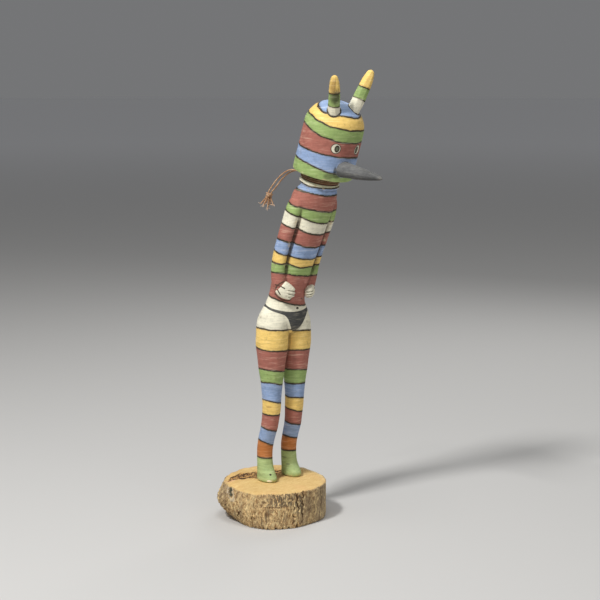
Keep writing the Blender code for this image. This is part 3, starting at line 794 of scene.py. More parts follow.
# Heights above the soles, in thousandths, from the collar down to the waist.
BODY_LINES = np.array([
    (791, 784, 778, 776.5, 780, 788, 800), (775, 769, 761, 757, 758, 765, 780),
    (742, 729, 720.5, 716, 714.5, 722, 738), (722, 705.5, 692, 685.8, 685, 692, 710),
    (690, 675, 662.5, 656.5, 657, 664, 682), (649, 639, 627, 623.5, 624, 626, 640),
    (619, 604.5, 596, 593, 593.8, 597, 610), (588, 583, 573, 572, 572.3, 574, 586),
    (562, 559, 552, 548.5, 546, 547, 560), (496, 487, 477, 471.5, 468.5, 478, 496)])
RIGHT_LEG_LINES = np.array([
    (413, 412, 410, 409, 408, 409, 412), (361, 356.8, 355.3, 353.5, 353, 356, 363),
    (305, 305.5, 302.5, 298.5, 297, 299, 302), (269.5, 269.5, 267.3, 263.5, 261.5, 263, 267),
    (221.5, 220.5, 218, 214.5, 211, 212, 218), (184, 183.5, 181, 180, 180, 181, 184),
    (148, 144.5, 140, 136.5, 134, 137, 145), (112, 107.5, 101.5, 97, 94.5, 98, 108),
    (63.8, 62.8, 61, 59.8, 59.5, 61, 64)])
LEFT_LEG_LINES = np.array([
    (404, 404, 403, 401, 399, 401, 404), (351, 350.5, 350, 349, 349, 351, 354),
    (297.5, 297.5, 296.7, 294, 291.5, 293, 297), (259, 258.3, 257.7, 257.2, 257.4, 259, 261),
    (221.5, 220.3, 219, 217.5, 216.5, 218, 221), (191, 187.5, 183.3, 180.5, 178.8, 183, 190),
    (153, 149.5, 145, 142.5, 140.8, 145, 151), (111.5, 109.8, 106.8, 103.5, 100.8, 104, 110),
    (70.7, 69.8, 68.3, 67, 66.5, 68, 71)])
# The upper edge of the painted belt, and its lower edge by how far round from the middle of the front.
BELT_TOP = np.array([(473, 464, 457, 456, 460.5, 470, 478)])
BRIEF_MIDDLE = 6.0
BRIEF_LOW_AT = (0, 9, 16, 22, 27, 32, 41, 54, 71, 98, 180)
BRIEF_LOW = (403, 404, 409, 418, 429, 439, 448, 453, 458, 467, 471)


def line_heights(lines, angle):
    """Each line's height at each angle: between two of the seven angles a cubic curve, whose slope at
    an angle is that between its two neighbours, joined end to end round the form."""
    knots = np.concatenate([LINE_ANGLES[-2:] - 360, LINE_ANGLES, LINE_ANGLES[:2] + 360])
    heights = np.concatenate([lines[:, -2:], lines, lines[:, :2]], 1)
    slopes = np.gradient(heights, knots, axis=1)
    degrees = np.degrees(angle)
    step = np.clip(np.searchsorted(knots, degrees, side="right") - 1, 0, len(knots) - 2)
    width = knots[step + 1] - knots[step]
    t = (degrees - knots[step]) / width
    return ((2 * t**3 - 3 * t**2 + 1) * heights[:, step] + (t**3 - 2 * t**2 + t) * width * slopes[:, step]
            + (3 * t**2 - 2 * t**3) * heights[:, step + 1] + (t**3 - t**2) * width * slopes[:, step + 1])


def stripe_number(height, edges, before, after):
    """Counts the lines passed going from the first edge to the last, with the share of the stripe
    between two lines as the rest. Before the first and after the last line a stripe is that wide."""
    ordered = np.concatenate([edges[:1] - before, edges, edges[-1:] + after])
    widths = np.diff(ordered, axis=0)
    number = rising(height, ordered[:-1], widths).sum(0)
    inside = np.clip(number.astype(int), 0, len(widths) - 1)
    return number, np.abs(np.take_along_axis(widths, inside[None], 0)[0])


# %% Stripe numbers of the figure
on_mask = figure - MASK_FOOT
mask_height = on_mask @ MASK_AXIS / MM
mask_angle = np.arctan2(on_mask @ MASK_LEFT, on_mask @ MASK_FRONT)
mask_number, mask_width = stripe_number(mask_height, line_heights(MASK_LINES, mask_angle), 9.0, 9.0)

leg_side = np.where(figure[:, 0] / SHARE > LEG_MIDDLE, 1, -1)
_, right_angle, _ = distance_to(figure, FORMS["right leg"])
_, left_angle, _ = distance_to(figure, FORMS["left leg"])
leg_edges = np.where(leg_side > 0, line_heights(LEFT_LEG_LINES, left_angle),
                     line_heights(RIGHT_LEG_LINES, right_angle))
all_edges = np.concatenate([line_heights(BODY_LINES, body_angle), leg_edges])
body_number, body_width = stripe_number(height, all_edges, -30.0, -75.0)

FIRST_BODY_STRIPE = 8
is_mask = mask_height > -0.35
stripe = np.where(is_mask, mask_number, FIRST_BODY_STRIPE + body_number)
stripe_width = np.where(is_mask, mask_width, body_width * SHARE / MM)
print("stripes from", round(float(stripe.min()), 2), "to", round(float(stripe.max()), 2))

# %% [markdown]
# ## Other painted marks
#
# The breechcloth is a grey triangle on a thin belt. Each eye is a cream oval ring round a dark pupil that
# sits nearer the beak. A dark line follows the foot of each horn and a pale one the foot of the beak.
# Each mark is a distance that the paint compares with a limit, so its edge stays sharp however coarse
# the mesh is.

# %% Where the hands lie
HAND_HEIGHT = 512.0
HAND_TURN = math.radians(34)
# Dark lines on the belly round a hand, as (across, up) from its middle, in thousandths. The first runs under
# the hand and is a painted shadow; the others are lines drawn at the wrist.
BELLY_LINES_AND_HAND_SHADOW = [((-23.4, -9.0), (-16.8, -16.8), (-7.0, -22.6), (7.3, -26.4), (17.3, -24.0)),
         ((-2.0, 26.6), (-10.0, 22.6), (-16.4, 18.6), (-20.4, 13.8), (-23.6, 7.0)),
         ((-24.0, 18.0), (-18.5, 16.8), (-12.0, 14.4))]


def hand_frame(side):
    """A hand's middle, the direction across it towards the fingers, and the one out of the belly."""
    left = np.interp(HAND_HEIGHT, BODY_ROWS[:, 0], BODY_ROWS[:, 1]) + side * 40.5
    forward = np.interp(HAND_HEIGHT, BODY_ROWS[:, 0], BODY_ROWS[:, 2]) + 37.0
    across = np.array([-side * math.cos(HAND_TURN), -math.sin(HAND_TURN), 0.0])
    outward = np.array([side * math.sin(HAND_TURN), -math.cos(HAND_TURN), 0.0])
    return np.array([left, -forward, HAND_HEIGHT]) * SHARE + SOLES * UP, across, outward


belly_lines_and_hand_shadow = np.full(len(figure), FAR)
for side in (-1, 1):
    origin, across, outward = hand_frame(side)
    seen = np.flatnonzero((np.abs(figure[:, 2] - origin[2]) < 0.014) & ((figure - origin) @ outward > -0.012))
    flat = np.stack([(figure[seen] - origin) @ across, (figure[seen] - origin) @ UP], 1) / SHARE
    # The left hand gets only the painted shadow under it.
    for line in BELLY_LINES_AND_HAND_SHADOW[:1] if side > 0 else BELLY_LINES_AND_HAND_SHADOW:
        belly_lines_and_hand_shadow[seen] = np.minimum(belly_lines_and_hand_shadow[seen], nearest(flat, smooth_rows(line, 60)) * SHARE / MM)

# %% Marks on the figure
degrees_off = np.abs(wrapped(np.degrees(body_angle) - BRIEF_MIDDLE))
brief = np.minimum(line_heights(BELT_TOP, body_angle)[0] - height,
                   height - np.interp(degrees_off, BRIEF_LOW_AT, BRIEF_LOW)) * SHARE / MM

# Degrees from the front, height above the mask's foot and radius of an eye, and its pupil's shift towards
# the beak, half width and half height, in millimetres.
EYE_TURN, EYE_HEIGHT, EYE_RADIUS = 25.5, 29.4, 3.9
PUPIL_SHIFT, PUPIL_WIDE, PUPIL_HIGH = 1.0, 2.3, 3.2
side_arc = (np.abs(np.degrees(mask_angle)) - EYE_TURN) * math.pi / 180 * MASK_RADIUS / MM
rise = mask_height - EYE_HEIGHT
eye_ring = np.hypot(side_arc, rise) / EYE_RADIUS
eye_pupil = np.hypot((side_arc + PUPIL_SHIFT) / PUPIL_WIDE, rise / PUPIL_HIGH)

BEAK_HEIGHT, BEAK_DIP = 37.0 * SHARE, math.radians(5)
BEAK_FOOT = MASK_FOOT + BEAK_HEIGHT * MASK_AXIS + MASK_RADIUS * MASK_FRONT
BEAK_AHEAD = np.array([0.0, -math.cos(BEAK_DIP), -math.sin(BEAK_DIP)])


def from_line(points, start, direction):
    """How far points are from a straight line, in millimetres."""
    return np.linalg.norm(np.cross(points - start, direction), axis=1) / MM


# How far apart the horns' roots are, how far ahead of the mask's axis, and to the right of it.
HORN_SPREAD, HORN_FORWARD, HORN_SHIFT = 0.0213, 34.0 * SHARE, 0.0020
HORN_AWAY = math.hypot(HORN_SPREAD / 2, HORN_FORWARD)
HORN_SEAT_HEIGHT = MASK_WALL + MASK_DOME * math.sqrt(1 - (HORN_AWAY / MASK_RADIUS) ** 2)
HORNS = {}
# Each horn's side, length, diameter and lean, the heights of its two lines, and the radius of the dark
# line round its root as a share of its diameter.
for label, side, length, diameter, splay, lines, root in (
        ("right", -1, 0.0305, 0.0124, math.radians(14.5), (3.97, 15.25), 0.46),
        ("left", 1, 0.0380, 0.0141, math.radians(16.0), (11.2, 21.8), 0.42)):
    seat = (MASK_FOOT + HORN_SEAT_HEIGHT * MASK_AXIS + HORN_FORWARD * MASK_FRONT
            + (side * HORN_SPREAD / 2 - HORN_SHIFT) * MASK_LEFT)
    lean = unit(math.cos(splay) * MASK_AXIS + side * math.sin(splay) * MASK_LEFT)
    HORNS[label] = (seat, lean, length, diameter, lines, root)

horn_ring = np.full(len(figure), FAR)
for seat, lean, _, diameter, _, root in HORNS.values():
    around = np.abs(from_line(figure, seat, lean) - root * diameter / MM)
    horn_ring = np.where(mask_height > 50, np.minimum(horn_ring, around), FAR)
beak_ring = np.abs(from_line(figure, BEAK_FOOT, BEAK_AHEAD) - 7.5)
beak_ring = np.where(on_mask @ MASK_FRONT > 0, beak_ring, FAR)

ends, meets = neighbours(figure_quads, len(figure))
bend = ((figure - mean_of_neighbours(figure, ends, meets)) * normals_of(figure, figure_quads)).sum(1)
for _ in range(3):
    bend = 0.5 * bend + 0.5 * mean_of_neighbours(bend[:, None], ends, meets)[:, 0]
# How far an edge stands out of its surroundings where its paint is quite worn.
WORN_BEND = 0.000042
ridge = np.clip(bend / WORN_BEND, -1, 1)
print("ridge from", round(float(ridge.min()), 2), "to", round(float(ridge.max()), 2))

# %% [markdown]
# ## Striped paint
#
# The material reads the stripe number. A colour ramp with constant steps picks the colour of the stripe,
# and the distance to the nearest whole number, times the stripe's width, is the distance in millimetres
# to the nearest line. The shaky hand moves both together, so that line and colour never part.

# %% Striped paint
BRICK = rgb(172, 108, 94)
LEAF = rgb(154, 178, 108)
SKY = rgb(146, 168, 204)
OCHRE = rgb(244, 206, 118)
CREAM = rgb(236, 230, 206)
RUST = rgb(190, 120, 66)
BOOT = rgb(172, 192, 130)
CHARCOAL = rgb(76, 76, 74)
LINE_COLOUR = rgb(62, 54, 42)
BARE = rgb(214, 190, 150)
# The most stripes that one ramp holds.
MOST_STRIPES = 32.0


def striped_paint(name, colours, line_from, line_to, line_half=0.62):
    """A material whose colour steps with the stripe attribute. It gives the material, its tree, its
    shader, the stripes' colour with a soft shade beside the lines, and where the dark lines are."""
    material, tree, shader = new_material(name)
    shake = use(tree, shaky_hand, {"Reach": 1.9})["Offset"]
    width = attribute(tree, "stripe_width")
    number = maths(tree, "ADD", attribute(tree, "stripe"), maths(tree, "DIVIDE", shake, width))
    ramp = add(tree, "ValToRGB", {"Fac": maths(tree, "DIVIDE", number, MOST_STRIPES)})
    ramp.color_ramp.interpolation = "CONSTANT"
    steps = ramp.color_ramp.elements
    for place, colour in sorted(colours.items()):
        step = steps[0] if place == min(colours) else steps.new(place / MOST_STRIPES)
        step.position = place / MOST_STRIPES
        step.color = (*colour, 1.0)
    steps.remove(steps[-1])
    part = maths(tree, "SUBTRACT", maths(tree, "FRACT", maths(tree, "ADD", number, 0.5)), 0.5)
    away = times(tree, maths(tree, "ABSOLUTE", part), width)
    half = times(tree, noise(tree, 240.0, 2.0), 0.5, line_half - 0.25)
    line = between(tree, maths(tree, "SUBTRACT", away, half), 0.16, -0.1)
    allowed = times(tree, maths(tree, "GREATER_THAN", number, line_from),
                    maths(tree, "LESS_THAN", number, line_to))
    beside = times(tree, between(tree, away, 1.9, 0.6, 0.0, 0.34), allowed)
    washed = blend(tree, beside, ramp.outputs["Color"], rgb(150, 138, 122), "MULTIPLY")
    return material, tree, shader, washed, times(tree, line, allowed)


MASK_COLOURS = {0: LEAF, 1: SKY, 2: BRICK, 3: LEAF, 4: OCHRE, 5: SKY}
BODY_COLOURS = dict(enumerate([
    CREAM, SKY, BRICK, LEAF, CREAM, BRICK, SKY, OCHRE, LEAF, BRICK, CREAM,
    OCHRE, BRICK, LEAF, SKY, OCHRE, BRICK, SKY, RUST, BOOT], FIRST_BODY_STRIPE))

# %% Paint of the figure
figure_paint, tree, shader, colour, line = striped_paint(
    "striped paint", {**MASK_COLOURS, **BODY_COLOURS}, 0.5, 40.0)
tall = attribute(tree, "mask_height")
# The mask's stripe numbers end at 6, at the dome's top, and no line is drawn there.
from_top = maths(tree, "ABSOLUTE", maths(tree, "SUBTRACT", attribute(tree, "stripe"), 6.0))
no_cap_line = maths(tree, "LESS_THAN", from_top, 0.6)
line = times(tree, line, maths(tree, "SUBTRACT", 1.0, no_cap_line))
colour = coat(tree, colour, attribute(tree, "brief"), -0.12, 0.12, CHARCOAL)
colour = blend(tree, line, colour, LINE_COLOUR)
ring = attribute(tree, "eye_ring")
colour = coat(tree, colour, ring, 1.20, 1.12, LINE_COLOUR)
colour = coat(tree, colour, ring, 1.04, 0.97, CREAM)
pupil = attribute(tree, "eye_pupil")
colour = coat(tree, colour, pupil, 1.04, 0.94, LINE_COLOUR)
colour = coat(tree, colour, pupil, 0.62, 0.46, rgb(108, 114, 92), 0.85)
colour = coat(tree, colour, attribute(tree, "horn_ring"), 0.85, 0.45, LINE_COLOUR)
colour = coat(tree, colour, attribute(tree, "beak_ring"), 0.75, 0.35, rgb(176, 190, 216), 0.6)
# Painted shade: the skin darkens towards each cut. The dark line in the cuts is dark paint along the arms,
# deepened as painted shade, and painted shade between the legs.
cut = times(tree, noise(tree, 300.0, 2.0), -0.9, attribute(tree, "groove"))
cut = maths(tree, "ADD", cut, 0.45)
colour = coat(tree, colour, attribute(tree, "groove"), 3.2, 0.7, rgb(140, 126, 112), 0.45, "MULTIPLY")
colour = coat(tree, colour, cut, 0.95, 0.30, LINE_COLOUR, 0.88)
# Lines drawn at the wrist, and a painted shadow under each hand.
ragged_lines_and_shadow = times(tree, noise(tree, 500.0, 2.0), 0.6, attribute(tree, "belly_lines_and_hand_shadow"))
colour = coat(tree, colour, ragged_lines_and_shadow, 1.10, 0.65, LINE_COLOUR, 0.85)
# Small marks: centre, half sizes, softness, tint and strength. First the navel and the boot's hole and chip,
# then two dark patches below and left of the beak's foot and a painted shadow at the edge of the foot, then
# stains.
colour = with_spots(tree, colour, (
    ((0.0114, -0.0222, 0.1916), (0.0017, 0.0017, 0.0010), 0.25, LINE_COLOUR, 1.0),
    ((-0.0081, -0.0077, 0.0402), (0.0011, 0.0011, 0.0009), 0.25, LINE_COLOUR, 1.0),
    ((-0.0106, -0.0092, 0.0348), (0.0026, 0.0026, 0.0010), 0.25, rgb(248, 242, 222), 1.0),
    ((0.0160, -0.0600, 0.3095), (0.0024, 0.0030, 0.0018), 1.6, rgb(84, 88, 62), 0.60),
    ((0.0225, -0.0625, 0.3105), (0.0026, 0.0030, 0.0020), 1.2, rgb(60, 64, 48), 0.75),
    # Painted shadow at the edge of the beak's foot.
    ((0.0200, -0.0625, 0.3145), (0.0010, 0.0022, 0.0026), 0.9, rgb(40, 42, 40), 0.80),
    ((-0.0103, -0.0090, 0.1030), (0.0016, 0.0016, 0.0007), 1.4, rgb(150, 104, 60), 0.5),
    ((0.0187, -0.0252, 0.2154), (0.0020, 0.0020, 0.0012), 1.3, rgb(206, 140, 128), 0.6),
    ((0.0164, 0.0043, 0.0503), (0.0012, 0.0034, 0.0006), 0.8, rgb(100, 112, 78), 0.6),
    ((0.0177, 0.0000, 0.0443), (0.0011, 0.0022, 0.0007), 0.8, rgb(100, 112, 78), 0.6)))
painted = use(tree, brushed_paint, {"Colour": colour, "Streaks": 0.66, "Chalk": 0.28, "Dirt": 0.46})
worn = times(tree, between(tree, attribute(tree, "ridge"), 0.45, 0.95),
             between(tree, noise(tree, 210.0, 4.0, 0.6), 0.52, 0.66))
colour = blend(tree, times(tree, worn, 0.7), painted["Colour"], BARE)
# Painted shade: the hollows of the carving are darkened.
colour = coat(tree, colour, attribute(tree, "ridge"), -0.15, -0.9, rgb(70, 58, 46), 0.35)
under = times(tree, between(tree, tall, -0.2, -0.5), between(tree, tall, -6.7, -6.5))
colour = blend(tree, under, colour, rgb(96, 62, 44))
finish_shader(tree, shader, colour, painted["Height"], painted["Roughness"], 0.00025, 0.5)

make_piece("figure", figure, figure_quads, figure_paint, {
    "stripe": stripe, "stripe_width": stripe_width, "mask_height": mask_height, "brief": brief,
    "eye_ring": np.where(is_mask, eye_ring, FAR), "eye_pupil": np.where(is_mask, eye_pupil, FAR),
    "horn_ring": horn_ring, "beak_ring": beak_ring, "groove": groove / MM, "belly_lines_and_hand_shadow": belly_lines_and_hand_shadow, "ridge": ridge},
    ["carved_figure"])

# %% [markdown]
# ## Hands
#
# The hands lie flat on the belly: a wedge with four fingers marked by three shallow cuts, and a painted
# line at the wrist. A flat relief like this is a grid drawn from its outline: each ring is the outline
# shrunk towards the middle, and a height above the belly is given to every point, round at the edge and
# lower along the cuts. The left hand is the mirror image.

# %% Hands
HAND_OUTLINE = np.array([
    (3.5, 25.2), (14.2, 18.6), (22.0, 11.4), (26.6, 6.0), (27.9, 2.6), (25.6, -1.4), (27.7, -4.6),
    (27.9, -7.2), (24.6, -10.6), (26.0, -13.0), (24.4, -15.6), (19.4, -17.2), (17.0, -20.2),
    (11.0, -22.2), (0.4, -20.1), (-8.8, -16.4), (-16.4, -11.0), (-22.0, -4.8), (-24.0, 0.8), (-22.0, 6.1),
    (-18.0, 13.2), (-12.6, 18.0), (-5.3, 22.4)])
FINGER_CUTS = [((3.0, 3.2), (14.0, 1.2), (26.6, -1.6)), ((4.5, -5.0), (14.0, -8.0), (26.0, -11.0)),
               ((3.0, -12.6), (10.0, -15.8), (19.5, -19.0))]
HAND_LINES = [((-18.0, 16.8), (-9.5, 13.4), (-1.0, 8.6)), ((-21.0, 11.4), (-17.6, 2.6), (-12.2, -6.6))]
# How each hand's outline is fitted: its share across and up, and its shift. The left hand is smaller.
HAND_FIT = {-1: ((1.0, 1.0), (0.0, 0.0)), 1: ((0.72, 0.78), (-7.6, -6.9))}


def hand(side, label, material):
    """Rings of the outline times s, with s from 0 to 1. The height above the belly, in thousandths, is
    a slope that follows the belly, less a round edge of 11 times (1 - root(1 - s to the fifth)), less
    the cuts, each 1.9 deep times a bell curve of the distance to its line. The left one's rings go the
    other way round, because a mirror image turns a surface inside out."""
    fit, shift = (np.array(pair) for pair in HAND_FIT[side])
    around = np.vstack([HAND_OUTLINE, HAND_OUTLINE, HAND_OUTLINE]) * fit + shift
    count = len(HAND_OUTLINE)
    outline = smooth_rows(around, 3 * count * 14 + 1)[count * 14:2 * count * 14]
    middle = np.array([1.0, 0.5]) * fit + shift
    share = np.sin(np.radians(np.linspace(1.5, 90, 64)))
    front = middle + share[:, None, None] * (outline - middle)
    flat = front.reshape(-1, 2)
    slope = 11.0 - 10.0 * ((flat[:, 0] + 7) / 34) ** 2 - 1.2 * (flat[:, 1] / 20) ** 2
    edge = 11.0 * (1 - np.sqrt(np.clip(1 - np.repeat(share, len(outline)) ** 5, 0, 1)))
    cut, lines = (np.min([nearest(flat, smooth_rows(points, 60) * fit + shift) for points in drawn], 0)
                  for drawn in (FINGER_CUTS, HAND_LINES))
    fingers = rising((flat[:, 0] - shift[0]) / fit[0], -6, 16)
    out = slope - edge - 1.9 * np.exp(-(cut / 1.5) ** 2) * fingers - 0.5 * np.exp(-(lines / 0.8) ** 2)
    out += 0.25 * soft_noise(np.column_stack([flat, 0 * flat[:, 0]]), (9.0, 6.0, 1.0), 51)
    back = middle + np.linspace(0.96, 0.05, 8)[:, None, None] * (outline - middle)
    places = np.concatenate([np.column_stack([flat, out]),
                             np.column_stack([back.reshape(-1, 2), np.full(8 * len(outline), -9.0)])])
    origin, across, outward = hand_frame(side)
    points = origin + (places[:, :1] * across + places[:, 1:2] * UP + places[:, 2:] * outward) * SHARE
    rings = points.reshape(-1, len(outline), 3)
    back_rows = np.full(8 * len(outline), 99.0)
    attributes = {"cut": np.concatenate([cut * SHARE / MM + 4 * (1 - fingers), back_rows, [99, 99]]),
                  "mark": np.concatenate([lines * SHARE / MM, back_rows, [99, 99]])}
    if side > 0:
        rings = rings[:, ::-1]
        for key, value in attributes.items():
            turned_back = value[:-2].reshape(-1, len(outline))[:, ::-1].ravel()
            attributes[key] = np.concatenate([turned_back, value[-2:]])
    points, faces = joined_grids([rings])
    return make_piece("hand_" + label, points, faces, material, attributes, ())


hand_paint, tree, shader = new_material("hand paint")
colour = coat(tree, CREAM, attribute(tree, "cut"), 0.62, 0.12, rgb(120, 116, 92), 0.85)
broken = times(tree, noise(tree, 900.0, 2.0), 0.3, attribute(tree, "mark"))
colour = coat(tree, colour, broken, 0.80, 0.52, LINE_COLOUR)
finish_paint(tree, shader, colour, 0.2, 0.2, 0.25, 0.0002)
hand(-1, "right", hand_paint)
hand(1, "left", hand_paint)

# %% [markdown]
# ## Horns
#
# Each horn is a short stick whittled round with a few long knife strokes, so its outline is a soft
# polygon. It stands on the dome with its root sunk in, and its stripes go white, green and yellow.

# %% Horns
def facetted(angle, facets, softness):
    """Radius share of a soft polygon: the polygon's own radius, eased towards a circle."""
    slice_angle = 2 * math.pi / facets
    within = np.mod(angle, slice_angle) - slice_angle / 2
    return (math.cos(slice_angle / 2) / np.cos(within)) ** softness


HORN_SHAPE = [(0.84, -0.20), (0.87, 0.0), (0.87, 0.13), (0.83, 0.34), (0.79, 0.54), (0.72, 0.72),
              (0.60, 0.85), (0.43, 0.95), (0.26, 0.985), (0.10, 1.0)]
horn_paint, tree, shader, colour, line = striped_paint(
    "striped horn paint", {0: CREAM, 1: LEAF, 2: OCHRE}, 0.5, 2.5, 0.45)
colour = blend(tree, line, colour, LINE_COLOUR)
colour = with_spots(tree, colour, (
    ((0.0142, -0.0712, 0.3765), (0.0026, 0.0036, 0.0040), 1.5, rgb(52, 50, 34), 0.80),
    ((0.0112, -0.0722, 0.3860), (0.0009, 0.0030, 0.0036), 1.8, rgb(118, 82, 44), 0.60)))
finish_paint(tree, shader, colour, 0.45, 0.4, 0.45, 0.00025)

HORN_LEVELS, HORN_SIDES = 90, 56
radius, place = smooth_rows(HORN_SHAPE, HORN_LEVELS).T
angle = np.arange(HORN_SIDES) * 2 * math.pi / HORN_SIDES
for label, (seat, lean, length, diameter, lines, _) in HORNS.items():
    front = unit(MASK_FRONT - (MASK_FRONT @ lean) * lean)
    left = np.cross(lean, front)
    twist = 0.35 * np.sin(3 * place)[:, None] + (0.4 if label == "left" else 1.1)
    slim = 1 - (0.10 if label == "left" else 0.0) * rising(0.30, place, 0.30)
    reach = 0.5 * diameter * (slim * radius)[:, None] * facetted(angle[None, :] + twist, 7, 0.75)
    rings = rings_about(seat + (place * length)[:, None] * lean, reach, angle, left, -front)
    uneven = 0.00008 * soft_noise(rings.reshape(-1, 3), (0.004, 0.004, 0.012), 11)
    rings = rings + uneven.reshape(HORN_LEVELS, HORN_SIDES, 1) * front
    points, faces = joined_grids([rings])
    up_horn = (points - seat) @ lean / MM
    edges = np.repeat(np.array(lines)[:, None], len(points), 1)
    number, width = stripe_number(up_horn, edges, lines[0], 12.0)
    make_piece("horn_" + label + "_painted", points, faces, horn_paint,
               {"stripe": number, "stripe_width": width}, ["horn_" + label])

# %% [markdown]
# ## Beak
#
# The beak is a long cone that droops to a small hook, covered in matte charcoal paint. Its profile is
# carried along a path that bends down near the tip, and a little more is pared off below than above.

# %% Beak
BEAK_LENGTH, BEAK_DIAMETER = 0.050, 0.0136
beak_up = np.cross(-LEFT, BEAK_AHEAD)
BEAK_SHAPE = [(1.14, -0.09, -0.05), (1.08, 0.0, -0.08), (0.97, 0.15, -0.13), (0.86, 0.34, -0.18),
              (0.74, 0.51, -0.20), (0.61, 0.67, -0.20), (0.46, 0.82, -0.19), (0.33, 0.92, -0.20),
              (0.23, 0.97, -0.23), (0.09, 1.0, -0.27)]
radius, place, droop = smooth_rows(BEAK_SHAPE, 120).T
centres = (BEAK_FOOT + (place * BEAK_LENGTH)[:, None] * BEAK_AHEAD
           + (droop * BEAK_DIAMETER / 2)[:, None] * beak_up)
angle = np.arange(72) * 2 * math.pi / 72
below = np.clip(-np.sin(angle), 0, 1)
reach = 0.5 * BEAK_DIAMETER * radius[:, None] * facetted(angle + 0.3, 9, 0.5) * (1 - 0.04 * below)
points, faces = joined_grids([rings_about(centres, reach, angle, LEFT, beak_up)])
beak_paint, tree, shader = new_material("charcoal paint", 0.6)
tip = between(tree, attribute(tree, "along"), 0.90, 0.99)
grey = blend(tree, noise(tree, (630.0, 198.0, 630.0), 4.0, 0.6), rgb(64, 65, 66), rgb(128, 128, 126))
# Painted shade: the beak's underside is darker.
grey = coat(tree, grey, attribute(tree, "below"), 0.0, 0.9, rgb(44, 45, 47), 0.60)
grey = coat(tree, grey, attribute(tree, "along"), 0.35, 0.85, rgb(44, 44, 46), 0.35)
grey = blend(tree, times(tree, tip, 0.22), grey, rgb(160, 154, 144))
finish_paint(tree, shader, grey, 0.25, 0.08, 0.0, 0.0003, 0.6)
make_piece("beak_painted", points, faces, beak_paint,
           {"along": (points - BEAK_FOOT) @ BEAK_AHEAD / BEAK_LENGTH,
            "below": np.concatenate([np.tile(below, len(centres)), [0.0, 0.0]])}, ["beak"])

# %% [markdown]
# ## Log
#
# The base is a slice of weathered log: a sawn top the colour of honey, with an old dark split that curves
# behind the feet, and grey-brown sides whose fibres were torn by the weather. It is one grid: the top in
# rings from the middle out, the side in rings down, and the underside back to the middle. The height of
# the top and the reach of the side are both functions of angle and place along that profile.

# %% Log outline
LOG_RADIUS, LOG_HEIGHT, LOG_UNDERCUT = 0.04775, 0.033, 0.013
AROUND, TOP_RINGS, SIDE_RINGS, FOOT_RINGS = 660, 62, 70, 8
turn = np.arange(AROUND) * 2 * math.pi / AROUND
T = turn[None, :]
outline = LOG_RADIUS * (1 + 0.014 * np.cos(2 * turn + 0.6) + 0.010 * np.cos(3 * turn - 0.4)
                        + 0.006 * np.cos(7 * turn + 1.0))
undercut = np.maximum(0.0, np.cos(turn - math.radians(150))) ** 2


def around_noise(turn, height, counts, heights, seed, waves=30):
    """A smooth random field on the side of the log: the mean of waves that fit whole times round it and
    change slowly up it. Counts and heights are ranges of waves round and of metres up."""
    rng = np.random.default_rng(seed)
    whole = rng.integers(counts[0], counts[1], waves)
    up = 2 * math.pi / rng.uniform(heights[0], heights[1], waves) * rng.choice([-1, 1], waves)
    phase = rng.uniform(0, 2 * math.pi, waves)
    field = np.zeros(np.broadcast(turn, height).shape)
    for n, pace, start in zip(whole, up, phase):
        field = field + np.sin(n * turn + pace * height + start)
    return field / math.sqrt(waves)


def near_angle(turn, degrees, width):
    """1 at an angle and 0 beyond a width on either side, in degrees, with a smooth slope."""
    away = np.clip(1 - np.abs(wrapped(np.degrees(turn) - degrees)) / width, 0, 1)
    return away ** 2 * (3 - 2 * away)


def back_rise(x, y):
    """How far the sawn face rises at a place, up to 2.4 mm at the back."""
    return 0.0024 * rising(AWAY[0] * x + AWAY[1] * y, 0.026, 0.020) ** 1.3


def round_side(degrees):
    """Degrees round the log as millimetres along its side."""
    return np.radians(wrapped(degrees)) * LOG_RADIUS / MM


# %% Log side
lump = near_angle(T, 148, 48)
saw_rise = back_rise(outline * np.cos(turn), outline * np.sin(turn))
rim = LOG_HEIGHT + saw_rise + 0.0003 * around_noise(turn, 0 * turn, (6, 24), (1, 2), 45) - 0.0005
chips = np.clip(around_noise(turn, 0 * turn, (25, 90), (1, 2), 31) - 0.1, 0, 2.0)
lowest = 0.0015 * chips
share_up = np.linspace(1.0, 0.0, SIDE_RINGS)[:, None]
height_up = lowest + share_up * (rim - lowest)
cut_in = np.interp(share_up, [0, 0.12, 0.24, 0.34, 0.50, 0.75], [1.0, 0.66, 0.36, 0.14, 0.03, 0.0])
reach = outline[None, :] - cut_in * LOG_UNDERCUT * undercut[None, :]
swell = np.interp(height_up, [0, 0.010, 0.014, 0.018, 0.022, 0.025], [0, 0.0006, 0.0013, 0.0014, 0.0006, 0.0])
eaten = np.interp(height_up, [0.020, 0.0265, 0.031, 0.0345], [0, 0.0026, 0.0056, 0.0086])
shift = (-eaten * near_angle(T, 154, 62) + 0.0012 * near_angle(T, -38, 50)
         + (0.0020 * near_angle(T, -142, 34) - 0.0010 * near_angle(T, -75, 30)) * (1 - share_up))
broad = around_noise(T, height_up, (5, 16), (0.04, 0.12), 20)
coarse = around_noise(T, height_up, (18, 46), (0.02, 0.08), 21)
fibres = around_noise(T, height_up, (70, 170), (0.010, 0.05), 22)
torn = around_noise(T, height_up, (110, 230), (0.0025, 0.008), 23)
lumps = around_noise(T, height_up, (28, 62), (0.005, 0.011), 24, 36)
worn_side = near_angle(T, -38, 36) + 0.5 * near_angle(T, -165, 20)
roughness_here = 1 - 0.7 * np.clip(worn_side, 0, 1)
relief = (0.00030 * broad + 0.00020 * coarse + 0.00008 * fibres + 0.00022 * torn) * roughness_here - 0.0005
between_lumps = np.clip(0.35 - np.abs(lumps), 0, 1)
blocks = near_angle(T, 156, 52) * (0.0007 * lumps - 0.0015 * between_lumps + 0.0004 * torn)
ledge = near_angle(T, -122, 22) * rising(height_up, 0.0205, 0.0005)
relief = relief - 0.0005 * ledge * (1 + 0.8 * torn)


